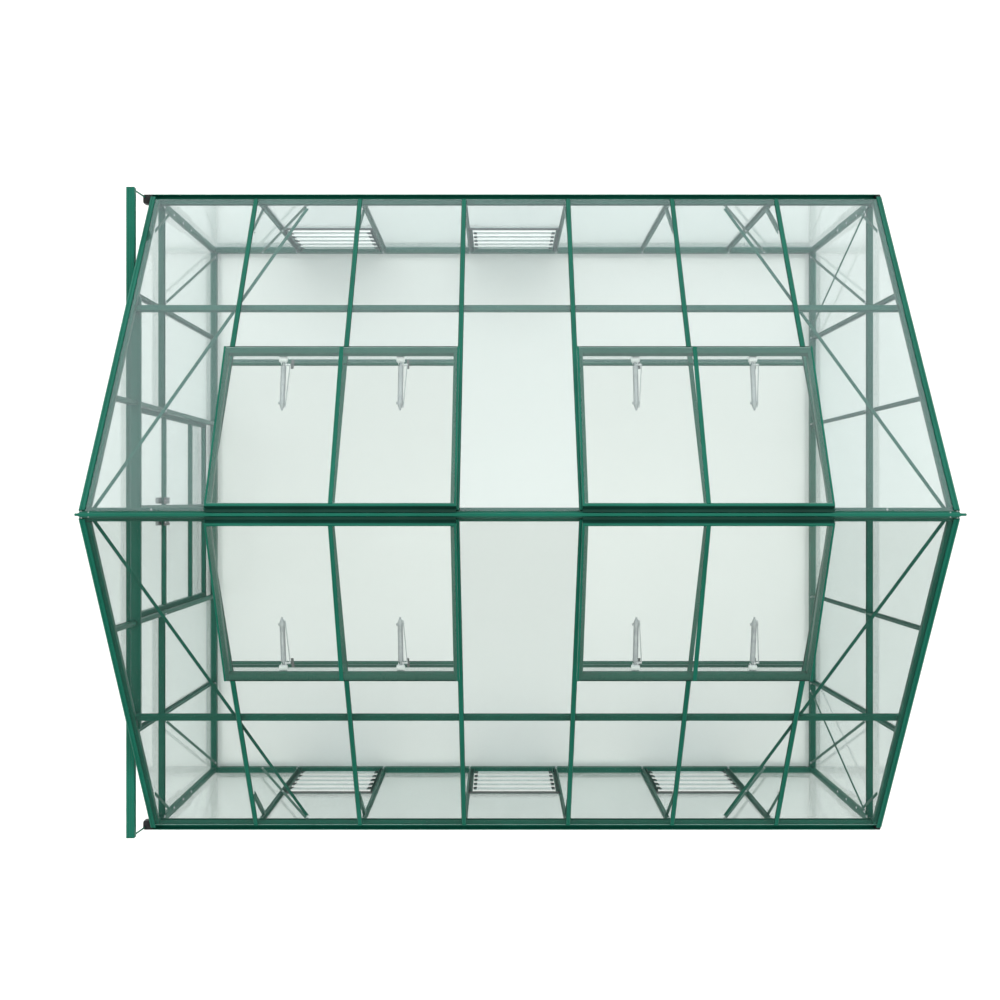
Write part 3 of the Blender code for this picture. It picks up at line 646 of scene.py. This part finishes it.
def add_gable_corner(piece, end, side, foot):
    """A corner post with its head, stiffening plate and knee strip, and the rafter above it."""
    sign = SIDES[side]
    out = Vector((ENDS[end], 0, 0))
    corner_y = HALF_WIDTH - BAR_MIDDLE
    box = rounded(BAR_DEPTH, BAR_DEPTH, 0.004, (0, -BAR_DEPTH / 2))
    gable_line(piece, end, box, (sign * corner_y, foot), (sign * corner_y, POST_TOP), INSET)
    head = rounded(0.0165, 0.0335, 0.002, (0, -0.0335 / 2))
    gable_line(piece, end, head, (sign * 1.8915, 1.48), (sign * 1.8915, 1.5425), INSET + 0.001)
    plate_y = sign * (corner_y - 0.006)
    plate = rounded(0.046, 0.003, 0.001)
    gable_line(piece, end, plate, (plate_y, 0.75), (plate_y, 1.44), INNER_FACE + 0.0015)
    for z in (0.775, 0.98, 1.2, 1.415):
        piece.bolt(gable_point(end, plate_y - sign * 0.012, z, INNER_FACE + 0.003), -out, 1)
    x = gable_point(end, 0, 0, RAFTER_INSET).x
    upper, lower = (roof_point(side, x, run, ROOF_BAR_RISE) for run in (0.047, RAFTER_END))
    rafter = rounded(RAFTER_WIDTH, ROOF_BAR_DEPTH, 0.003, (0, -ROOF_BAR_DEPTH / 2))
    piece.bar(rafter, upper, lower, roof_normal(side))
    gable_line(piece, end, STRIP, (sign * 1.868, 1.30), (sign * 1.690, 1.62), 0.0445)
    for run in (0.075, 0.80, 1.52, 2.20):
        spot = roof_point(side, x - ENDS[end] * 0.006, run, ROOF_BAR_RISE - ROOF_BAR_DEPTH)
        piece.bolt(spot, -roof_normal(side), 1)


def add_gable_braces(piece, end):
    """A diagonal strip in each end bay, crossed by a second one at the far end."""
    out = Vector((ENDS[end], 0, 0))
    for sign in (-1, 1):
        crossings = [((sign * 1.850, 0.060), (sign * 1.290, GABLE_BEAM_HEIGHT), STRIP_INSET)]
        if end == "far":
            crossings.append(((sign * 1.310, 0.060), (sign * 1.870, GABLE_BEAM_HEIGHT), STRIP_INSET + 0.0031))
        for start, finish, inset in crossings:
            gable_line(piece, end, STRIP, start, finish, inset)
            for share in (0.015, 0.985):
                y = start[0] + (finish[0] - start[0]) * share
                z = start[1] + (finish[1] - start[1]) * share
                piece.bolt(gable_point(end, y, z, inset + 0.0015), -out, 1)


def build_gable_caps(end):
    """The caps outside the posts and the corners."""
    out = Vector((ENDS[end], 0, 0))
    piece = Piece(f"{end}_gable_caps", "house", [GREEN, SEAL_AND_PAINTED_SHADE_GREEN], "green_frame")
    for number in GABLE_BARS[end]:
        y = bay_y(number)
        start = gable_point(end, y, BASE_TOP + 0.0005, SKIN - 0.0006)
        add_cap(piece, start, gable_point(end, y, under_roof(y, 0.012), SKIN - 0.0006), out)
    for sign in (-1, 1):
        corner = HALF_WIDTH - 0.0135
        start = gable_point(end, sign * corner, BASE_TOP + 0.0005, SKIN - 0.0006)
        finish = gable_point(end, sign * corner, POST_TOP - 0.002, SKIN - 0.0006)
        piece.bar(bar_cap(0.027, 0.0036), start, finish, out)
    piece.done()


def gable_pane(piece, end, low_y, high_y, bottom, flat_top=None):
    """A pane whose head follows the roof, or is flat."""
    out = Vector((ENDS[end], 0, 0))
    tops = [(y, flat_top or under_roof(y, 0.004)) for y in (high_y, low_y)]
    if flat_top is None and low_y < 0 < high_y:
        tops.insert(1, (0.0, under_roof(0, 0.004)))
    corners = [(low_y, bottom), (high_y, bottom), *tops]
    piece.pane([gable_point(end, y, z, SKIN) for y, z in corners], out)


def build_gable_panes(end):
    """Panes below and above the beam, and round the header over the doors."""
    piece = Piece(f"{end}_gable_panes", "house", [WALL_GLASS, EDGE], "clear_glass")
    for bay in range(BAYS_WIDE):
        low, high = bay_y(bay) + PANE_EASE, bay_y(bay + 1) - PANE_EASE
        if bay == 0:
            low = -GABLE_PANE_REACH
        if bay == BAYS_WIDE - 1:
            high = GABLE_PANE_REACH
        if end == "door" and bay in (2, 3):
            continue
        gable_pane(piece, end, low, high, BASE_TOP + 0.0008, GABLE_BEAM_HEIGHT - 0.001)
        gable_pane(piece, end, low, high, GABLE_BEAM_HEIGHT + 0.001)
    if end == "door":
        for low, high in ((PANE_EASE - BAY_WIDE, -0.001), (0.001, BAY_WIDE - PANE_EASE)):
            gable_pane(piece, end, low, high, HEADER_PANE_BOTTOM, HEADER_HEIGHT - 0.001)
            gable_pane(piece, end, low, high, HEADER_HEIGHT + 0.001)
    piece.done(replaces=[f"{end}_gable_glass"])


# ---------------------------------------------------------------- roof


ROOF_PANE_REACH = 2.212


def build_roof_bars(side):
    """Glazing bars, purlin, the trimmers below the vents and the diagonal strips."""
    face = roof_normal(side)
    piece = Piece(f"{side}_roof_bars", "house", [GREEN, STEEL, GREY], "green_frame")
    tee = glazing_bar(BAR_WIDTH, ROOF_BAR_DEPTH)
    for number in range(1, BAYS_LONG):
        x = bay_x(number)
        start, end = (roof_point(side, x, run, ROOF_BAR_RISE) for run in (0.030, ROOF_BAR_END))
        piece.bar(tee, start, end, face)
        for run in (PURLIN_RUN - 0.009, PURLIN_RUN + 0.009):
            piece.bolt(roof_point(side, x, run, ROOF_BAR_RISE - ROOF_BAR_DEPTH - 0.0165), -face, 1, 0.8)
    reach = HALF_LENGTH - INNER_FACE - 0.001
    start, end = (roof_point(side, HOUSE_X + x, PURLIN_RUN, ROOF_BAR_RISE - 0.0247) for x in (-reach, reach))
    piece.bar(channel(0.038, 0.0215, 0.0022), start, end, face)
    for first, last in VENT_BARS.values():
        start, end = (
            roof_point(side, bay_x(bar), TRIMMER_RUN, ROOF_BAR_RISE + 0.001) for bar in (first, last)
        )
        piece.bar(channel(0.036, 0.014, 0.0022), start, end, face)
        for number in (first + 0.5, last - 0.5):
            spot = roof_point(side, bay_x(number) + 0.031, 0.975, 0.0035)
            down = (end - start).normalized().cross(face)
            piece.block(spot, (0.062, 0.015, 0.006), 2, 0.002, (down, Vector((1, 0, 0)), face))
    below = ROOF_BAR_RISE - ROOF_BAR_DEPTH - 0.0012
    for sign in (-1, 1):
        head = roof_point(side, HOUSE_X + sign * 2.160, 0.055, below)
        foot = roof_point(side, HOUSE_X + sign * 1.267, 2.235, below)
        piece.bar(STRIP, head, foot, face)
        for share in (0.012, 0.985):
            piece.bolt(head.lerp(foot, share) - face * 0.0015, -face, 1)
    piece.done(replaces=[f"{side}_roof_frame"])


def build_roof_caps(side):
    """The outer caps over the roof bars, and the verge caps that wrap the gable edges."""
    face = roof_normal(side)
    piece = Piece(f"{side}_roof_caps", "house", [GREEN, SEAL_AND_PAINTED_SHADE_GREEN], "green_frame")
    under_vent = [number for first, last in VENT_BARS.values() for number in range(first + 1, last)]
    for number in range(1, BAYS_LONG):
        run = TRIMMER_RUN - 0.018 if number in under_vent else 0.026
        start, end = (roof_point(side, bay_x(number), place, 0.0005) for place in (run, CAP_END))
        piece.bar(bar_cap(CAP_WIDTH, 0.0062), start, end, face)
        # A seal strip under the cap, deep green as a real seal with painted shade along both cap edges.
        piece.bar(rounded(BAR_WIDTH + 0.004, 0.0009, 0.0004), start, end, face, 1)
    for sign in (-1, 1):
        for section, inset, rise in (
            (bar_cap(0.030, 0.0075), 0.0155, 0.0005), (rounded(0.0022, 0.026, 0.0008), 0.0012, -0.008)
        ):
            x = HOUSE_X + sign * (HALF_LENGTH - inset)
            piece.bar(section, roof_point(side, x, 0.024, rise), roof_point(side, x, VERGE_END, rise), face)
    piece.done()


def build_roof_panes(side):
    """One pane a bay, from the trimmer down where a vent lies above."""
    piece = Piece(f"{side}_roof_panes", "house", [ROOF_GLASS, EDGE], "clear_glass")
    vented = [bay for first, last in VENT_BARS.values() for bay in range(first, last)]
    for bay in range(BAYS_LONG):
        low, high = bay_x(bay) + PANE_EASE, bay_x(bay + 1) - PANE_EASE
        if bay == 0:
            low = HOUSE_X - ROOF_PANE_REACH
        if bay == BAYS_LONG - 1:
            high = HOUSE_X + ROOF_PANE_REACH
        top = TRIMMER_RUN - 0.006 if bay in vented else 0.022
        corners = [(low, top), (high, top), (high, PANE_END), (low, PANE_END)]
        piece.pane([roof_point(side, x, run, 0.0) for x, run in corners], roof_normal(side))
    piece.done(replaces=[f"{side}_roof_glass"])


# ---------------------------------------------------------------- roof vents and openers

VENT_OPEN = math.radians(6.0)
SASH_TOP, SASH_BOTTOM = 0.030, -0.010
SASH_START, SASH_END = 0.012, 0.974
SASH_HALF = 0.630
SASH_RAIL = 0.030
SIDE_LIP, END_LIP = 0.011, 0.006
OPENER_RUN, OPENER_RISE = 0.915, -0.036
OPENER_DROOP = math.radians(15.5)
OPENER_ROUND = 28


def vent_place(side, label):
    """Local Y runs down the sash and local Z out of the roof, from the middle of its hinge line."""
    joint = JOINTS[f"{side}_{label}_vent_hinge"]
    turn = Matrix.Rotation(0.0 if side == "north" else math.pi, 4, "Z")
    slope = Matrix.Rotation(VENT_OPEN - ROOF_SLOPE, 4, "X")
    return Matrix.Translation(joint["pos_m"]) @ turn @ slope


def build_vent(side, label):
    """Two panes on top of a sash of box rails, held by a thin lip all round and a cap down the middle."""
    name = f"{side}_{label}_vent"
    piece = Piece(name + "_sash", name, [GREEN, STEEL, WHITE, SEAL_AND_PAINTED_SHADE_GREEN], "green_frame")
    piece.place = vent_place(side, label)
    up = (0, 0, 1)
    bed = SASH_TOP - GLASS - 0.0008
    height, middle = bed - SASH_BOTTOM, (bed + SASH_BOTTOM) / 2
    across = SASH_HALF - 0.001
    for sign in (-1, 1):
        rail = [(a, o + middle) for a, o in rounded(SASH_RAIL, height, 0.003)]
        x = sign * (SASH_HALF - SASH_RAIL / 2)
        piece.bar(rail, (x, SASH_START, 0), (x, SASH_END, 0), up)
        x, lip_rise = sign * (SASH_HALF - SIDE_LIP / 2), bed + 0.0016
        piece.bar(rounded(SIDE_LIP, 0.0044, 0.0015), (x, SASH_START, lip_rise), (x, SASH_END, lip_rise), up)
    tee = [(a, o + bed) for a, o in glazing_bar(0.024, height - 0.004)]
    piece.bar(tee, (0, SASH_START + 0.01, 0), (0, SASH_END - 0.01, 0), up)
    cap_rise = SASH_TOP - 0.0004
    piece.bar(bar_cap(0.022, 0.0046), (0, SASH_START + 0.014, cap_rise), (0, SASH_END - 0.004, cap_rise), up)
    foot = [(a, o + middle) for a, o in rounded(0.040, height - 0.001, 0.004)]
    piece.bar(foot, (-across, SASH_END - 0.021, 0), (across, SASH_END - 0.021, 0), up)
    # The end lip is drawn in painted shade: a deep green line along the sash's lower edge.
    lip_run, lip_rise, lip_end = SASH_END - END_LIP / 2, bed + 0.0015, SASH_HALF - 0.016
    lip = rounded(END_LIP, 0.0042, 0.0015)
    piece.bar(lip, (-lip_end, lip_run, lip_rise), (lip_end, lip_run, lip_rise), up, 3)
    head = [(a, o + middle + 0.0018) for a, o in rounded(0.015, height + 0.0036, 0.003)]
    piece.bar(head, (-across, SASH_START + 0.0085, 0), (across, SASH_START + 0.0085, 0), up)
    # A strip of painted shade on the back face of the head rail, which faces the ridge.
    back = rounded(0.0016, 0.026, 0.0006)
    piece.bar(back, (-across, SASH_START, 0.0125), (across, SASH_START, 0.0125), up, 3)
    # The hinge hook is painted shade: a dark sheet filling the shaded groove between the sash and the ridge.
    hook = rounded(0.0225, 0.0020, 0.0008)
    piece.bar(hook, (-across, 0.00075, 0.003), (across, 0.00075, 0.003), up, 3)
    for x in (-BAY_LONG / 2, BAY_LONG / 2):
        piece.block((x, OPENER_RUN + 0.007, SASH_BOTTOM - 0.011), (0.045, 0.026, 0.020), 2, 0.004)
        piece.block((x, SASH_END - 0.024, SASH_BOTTOM - 0.0025), (0.040, 0.044, 0.005), 1, 0.001)
        for sign in (-1, 1):
            ear = (x + sign * 0.0120, OPENER_RUN + 0.012, OPENER_RISE + 0.002)
            piece.block(ear, (0.003, 0.046, 0.022), 2, 0.001)
        pin = [(0.0035, -0.018), (0.004, -0.017), (0.004, 0.017), (0.0035, 0.018)]
        piece.turned(pin, (x, OPENER_RUN, OPENER_RISE), (1, 0, 0), 1)
    piece.done(replaces=[name])
    panes = Piece(name + "_panes", name, [ROOF_GLASS, EDGE], "clear_glass")
    panes.place = piece.place
    edge = SASH_HALF - SIDE_LIP - 0.0004
    top, bottom = SASH_START + 0.0165, SASH_END - END_LIP - 0.0004
    for low, high in ((-edge, -0.002), (0.002, edge)):
        corners = [(low, top), (high, top), (high, bottom), (low, bottom)]
        panes.pane([(x, run, SASH_TOP - 0.0006) for x, run in corners], panes.place.to_3x3() @ Vector(up))
    panes.done()
    for number, x in enumerate((-BAY_LONG / 2, BAY_LONG / 2), start=1):
        build_opener(name, number, x)


def build_opener(vent, number, x):
    """The cylinder, its collars and the arm beside it."""
    side, label, _ = vent.split("_")
    node = f"{vent}_opener_{number}"
    piece = Piece(node + "_cylinder", node, [SILVER, STEEL], "silver_opener")
    hinge = Matrix.Translation((x, OPENER_RUN, OPENER_RISE)) @ Matrix.Rotation(OPENER_DROOP, 4, "X")
    piece.place = vent_place(side, label) @ hinge
    barrel = [
        (0.0055, 0.000), (0.0060, 0.001), (0.0060, 0.018), (0.0130, 0.022), (0.0146, 0.026), (0.0150, 0.028),
        (0.0150, 0.036), (0.0142, 0.038), (0.0142, 0.218), (0.0150, 0.220), (0.0150, 0.236), (0.0142, 0.238),
        (0.0120, 0.246), (0.0070, 0.258), (0.0060, 0.260), (0.0060, 0.266), (0.0045, 0.269),
    ]
    piece.turned(barrel, (0, 0, 0), (0, -1, 0), 0, OPENER_ROUND)
    piece.block((0, -0.229, 0), (0.043, 0.013, 0.012), 0, 0.003)
    hand = SIDES[side]
    arm = rounded(0.005, 0.010, 0.002)
    piece.bar(arm, (hand * 0.0165, -0.246, -0.001), (hand * 0.034, -0.014, -0.004), (0, 0, 1), 0)
    bolt = [(0.0030, -0.004), (0.0034, -0.003), (0.0034, 0.018), (0.0030, 0.019)]
    piece.turned(bolt, (0, -0.250, 0), (hand, 0, 0), 1)
    piece.block((hand * 0.020, -0.012, -0.004), (0.034, 0.010, 0.010), 1, 0.002)
    piece.done(replaces=[node])


# ---------------------------------------------------------------- doors and their track

DOOR_X = 2.262
DOOR_BOTTOM, DOOR_TOP = 0.035, 1.752
DOOR_KICK, DOOR_MIDDLE = 0.442, 1.100
DOOR_DEPTH = 0.030
DOOR_INNER, DOOR_OUTER = 0.002, 0.634
MEETING_STILE, OUTER_STILE = 0.040, 0.034
WHEEL_RISE, WHEEL_ROUND = 0.0235, 24
TRACK_X, TRACK_TOP = 2.266, 1.800
BRACKET_HEIGHT = 1.779


def build_track():
    """The rail that the doors hang from, with its brackets, end plugs and end struts."""
    low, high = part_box("door_track")
    piece = Piece("door_rail", "house", [GREEN, STEEL, BLACK], "green_frame")
    x = HOUSE_X - TRACK_X
    outside = [
        (0.004, -0.042), (0.0225, -0.042), (0.0236, -0.041), (0.0240, -0.0395), (0.0240, -0.003),
        (0.0225, -0.0008), (0.0195, 0.0), (0.0105, 0.0), (0.0095, -0.0016), (0.0065, -0.0016), (0.0055, 0.0),
    ]
    inside = [
        (-0.004, -0.0395), (-0.0215, -0.0395), (-0.0215, -0.0035),
        (0.0215, -0.0035), (0.0215, -0.0395), (0.004, -0.0395),
    ]
    piece.bar(mirrored(outside) + inside, (x, low.y, TRACK_TOP), (x, high.y, TRACK_TOP), UP)
    for y in (low.y, high.y):
        piece.block((x, y - math.copysign(0.004, y), TRACK_TOP - 0.021), (0.047, 0.010, 0.040), 2, 0.003)
    wall_x = HOUSE_X - HALF_LENGTH + SKIN - 0.0003
    for sign in (-1, 1):
        for y in (sign * BAY_WIDE, sign * 2 * BAY_WIDE):
            start, end = (x + 0.022, y, BRACKET_HEIGHT), (wall_x, y, BRACKET_HEIGHT)
            piece.bar(rounded(0.028, 0.034, 0.003), start, end, UP)
            piece.bolt((x + 0.0235, y, BRACKET_HEIGHT), (1, 0, 0), 1)
        strut_top = Vector((x + 0.010, sign * 1.902, 1.762))
        strut_foot = Vector((HOUSE_X - 2.250, sign * 1.912, 1.535))
        piece.bar(rounded(0.010, 0.004, 0.001), strut_top, strut_foot, (1, 0, 0))
        piece.bolt(strut_top + Vector((-0.002, 0, 0.006)), (-1, 0, 0), 1, 0.8)
    piece.done(replaces=["door_track"])


def door_rail(width):
    """A stile or rail with a shallow groove down its face."""
    half, deep = width / 2, DOOR_DEPTH / 2
    return mirrored([
        (half - 0.002, -deep), (half, 0.002 - deep), (half, deep - 0.002), (half - 0.002, deep),
        (0.004, deep), (0.003, deep - 0.0014),
    ])


def build_door(side):
    """A sliding leaf with its stiles, rails, wheels, edge seal, panes and handle."""
    sign = SIDES[side]
    body = f"{side}_door"
    x = HOUSE_X - DOOR_X
    out = Vector((-1, 0, 0))
    piece = Piece(body + "_leaf", body, [GREEN, STEEL, BLACK], "green_frame")
    stiles = ((DOOR_INNER + MEETING_STILE / 2, MEETING_STILE), (DOOR_OUTER - OUTER_STILE / 2, OUTER_STILE))
    for y, width in stiles:
        piece.bar(door_rail(width), (x, sign * y, DOOR_BOTTOM), (x, sign * y, DOOR_TOP), out)
    rail_start = sign * (DOOR_INNER + MEETING_STILE - 0.002)
    rail_end = sign * (DOOR_OUTER - OUTER_STILE + 0.002)
    rails = (
        (DOOR_BOTTOM + 0.020, 0.040), (DOOR_KICK, 0.026), (DOOR_MIDDLE, 0.028), (DOOR_TOP - 0.017, 0.034)
    )
    for z, width in rails:
        section = [(a, o * 0.93) for a, o in door_rail(width)]
        piece.bar(section, (x, rail_start, z), (x, rail_end, z), out)
        for y, _ in stiles:
            piece.bolt((x - DOOR_DEPTH / 2, sign * y, z), out, 1, 0.7)
    wheel = [
        (0.0040, -0.006), (0.0125, -0.006), (0.0130, -0.005), (0.0118, 0.0),
        (0.0130, 0.005), (0.0125, 0.006), (0.0040, 0.006),
    ]
    for y in (DOOR_INNER + 0.11, DOOR_OUTER - 0.11):
        piece.block((x, sign * y, DOOR_TOP + 0.004), (0.003, 0.030, 0.040), 1, 0.001)
        hub = (x, sign * y, DOOR_TOP + WHEEL_RISE)
        piece.turned(wheel, (x - 0.009, *hub[1:]), (1, 0, 0), 2, WHEEL_ROUND)
        piece.turned([(0.0028, -0.016), (0.0028, 0.004)], hub, (1, 0, 0), 1)
    seal_start, seal_end = (
        (x + 0.010, sign * (DOOR_INNER + 0.0003), z) for z in (DOOR_BOTTOM + 0.002, DOOR_TOP - 0.002)
    )
    piece.bar(rounded(0.0022, 0.008, 0.001), seal_start, seal_end, out, 2)
    piece.done(replaces=[body + "_frame"])

    panes = Piece(body + "_panes", body, [WALL_GLASS, EDGE], "clear_glass")
    levels = (
        (DOOR_BOTTOM + 0.034, DOOR_KICK - 0.006),
        (DOOR_KICK + 0.006, DOOR_MIDDLE - 0.008),
        (DOOR_MIDDLE + 0.008, DOOR_TOP - 0.028),
    )
    low, high = DOOR_INNER + MEETING_STILE - 0.006, DOOR_OUTER - OUTER_STILE + 0.006
    for bottom, top in levels:
        corners = [(low, bottom), (high, bottom), (high, top), (low, top)]
        panes.pane([(x - GLASS / 2, sign * y, z) for y, z in corners], out)
    panes.done(replaces=[body + "_glass"])
    build_handle(body, x)


def build_handle(body, x):
    """A moulded pull on two feet outside, and a finger plate inside."""
    low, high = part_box(body + "_handle")
    piece = Piece(body + "_pull", body, [GREY, STEEL], "grey_plastic")
    y, z = (low.y + high.y) / 2, (low.z + high.z) / 2
    width, height = high.y - low.y, high.z - low.z
    grip, outside, inside = low.x, x - DOOR_DEPTH / 2, x + DOOR_DEPTH / 2
    axes = (Vector((0, 0, 1)), Vector((0, 1, 0)), Vector((1, 0, 0)))
    piece.block((grip + 0.005, y, z), (height, width, 0.010), 0, 0.004, axes)
    piece.block((inside + 0.0035, y, z), (height, width, 0.006), 0, 0.003, axes)
    for sign in (-1, 1):
        foot = ((grip + outside) / 2 + 0.002, y, z + sign * (height / 2 - 0.010))
        piece.block(foot, (0.018, width - 0.004, outside - grip - 0.004), 0, 0.004, axes)
        piece.bolt((inside + 0.0062, y, z + sign * height * 0.36), (1, 0, 0), 1, 0.7)
    piece.done(replaces=[body + "_handle"])


build_base()
build_ridge()
build_track()
for end_name in ENDS:
    build_gable_bars(end_name)
    build_gable_caps(end_name)
    build_gable_panes(end_name)
for side_name in SIDES:
    build_gutter(side_name)
    build_wall_bars(side_name)
    build_wall_caps(side_name)
    build_wall_panes(side_name)
    build_roof_bars(side_name)
    build_roof_caps(side_name)
    build_roof_panes(side_name)
    build_door(side_name)
    for vent_label in VENT_BARS:
        build_vent(side_name, vent_label)
    for louvre_bay in LOUVRE_BAYS[side_name]:
        for blade_number in range(1, BLADES + 1):
            build_blade(side_name, louvre_bay, blade_number)

# ---------------------------------------------------------------- floor, light and camera


def build_floor():
    """A plain pale floor, just below the base."""
    mesh = bmesh.new()
    bmesh.ops.create_grid(mesh, x_segments=1, y_segments=1, size=60.0)
    data = bpy.data.meshes.new("floor")
    mesh.to_mesh(data)
    mesh.free()
    pale = bpy.data.materials.new("pale_floor")
    pale.use_nodes = True
    shader = pale.node_tree.nodes["Principled BSDF"]
    shader.inputs["Base Color"].default_value = (0.93, 0.93, 0.93, 1)
    shader.inputs["Roughness"].default_value = 0.9
    shader.inputs["Specular IOR Level"].default_value = 0.1
    data.materials.append(pale)
    floor = bpy.data.objects.new("floor", data)
    floor.location.z = -0.001
    bpy.context.scene.collection.objects.link(floor)


def ramp(nodes, links, value, stops):
    """A colour ramp through (position, colour) stops."""
    node = nodes.new("ShaderNodeValToRGB")
    elements = node.color_ramp.elements
    for element, (position, color) in zip(elements, (stops[0], stops[-1])):
        element.position, element.color = position, (*color, 1)
    for position, color in stops[1:-1]:
        elements.new(position).color = (*color, 1)
    links.new(value, node.inputs["Fac"])
    return node.outputs["Color"]


def build_sky():
    """Soft studio light: a bright ring above, a dim ceiling, a bright +Y wall, and white where it is seen."""
    world = bpy.data.worlds.new("studio")
    world.use_nodes = True
    nodes, links = world.node_tree.nodes, world.node_tree.links
    place = nodes.new("ShaderNodeTexCoord")
    split = nodes.new("ShaderNodeSeparateXYZ")
    links.new(place.outputs["Generated"], split.inputs["Vector"])
    above = ramp(nodes, links, split.outputs["Z"], [
        (0.00, (0.90, 0.92, 0.95)), (0.45, (0.85, 0.86, 0.88)), (0.64, (1.10, 1.08, 1.05)),
        (0.72, (2.90, 2.90, 2.92)), (0.84, (2.90, 2.90, 2.92)), (0.92, (0.50, 0.51, 0.52)),
        (1.00, (0.32, 0.33, 0.34)),
    ])
    across = remap(nodes, links, split.outputs["Y"], -1.0, 1.0, 0.0, 1.0)
    walls = ramp(nodes, links, across, [
        (0.0, (0.12, 0.13, 0.13)), (0.12, (0.15, 0.16, 0.16)), (0.5, (1.0, 1.0, 1.0)),
        (0.85, (1.85, 1.9, 1.92)), (1.0, (1.9, 1.95, 1.97)),
    ])
    low = remap(nodes, links, split.outputs["Z"], 0.38, 0.52, 1.0, 0.0, smooth=True)
    wall_light = nodes.new("ShaderNodeMix")
    wall_light.data_type = "RGBA"
    links.new(low, wall_light.inputs["Factor"])
    roof_light = ramp(nodes, links, across, [(0.0, (1.02, 1.00, 0.93)), (1.0, (1.28, 1.28, 1.26))])
    links.new(roof_light, wall_light.inputs["A"])
    links.new(walls, wall_light.inputs["B"])
    total = nodes.new("ShaderNodeMix")
    total.data_type = "RGBA"
    total.blend_type = "MULTIPLY"
    total.inputs["Factor"].default_value = 1.0
    links.new(above, total.inputs["A"])
    links.new(wall_light.outputs["Result"], total.inputs["B"])
    path = nodes.new("ShaderNodeLightPath")
    seen = nodes.new("ShaderNodeMix")
    seen.data_type = "RGBA"
    links.new(path.outputs["Is Camera Ray"], seen.inputs["Factor"])
    links.new(total.outputs["Result"], seen.inputs["A"])
    seen.inputs["B"].default_value = (1, 1, 1, 1)
    links.new(seen.outputs["Result"], nodes["Background"].inputs["Color"])
    nodes["Background"].inputs["Strength"].default_value = 1.0
    bpy.context.scene.world = world


CAMERA_LENS = 43.45
CAMERA_PLACE = (HOUSE_X - 0.097, 0.0734, 8.875)


def build_camera():
    """Straight down from above the ridge, as in the photograph."""
    data = bpy.data.cameras.new("camera")
    data.lens = CAMERA_LENS
    data.sensor_width = 36.0
    data.clip_end = 200.0
    camera = bpy.data.objects.new("camera", data)
    camera.location = CAMERA_PLACE
    bpy.context.scene.collection.objects.link(camera)
    bpy.context.scene.camera = camera


build_floor()
build_sky()
build_camera()
bpy.context.scene.view_settings.view_transform = "Standard"
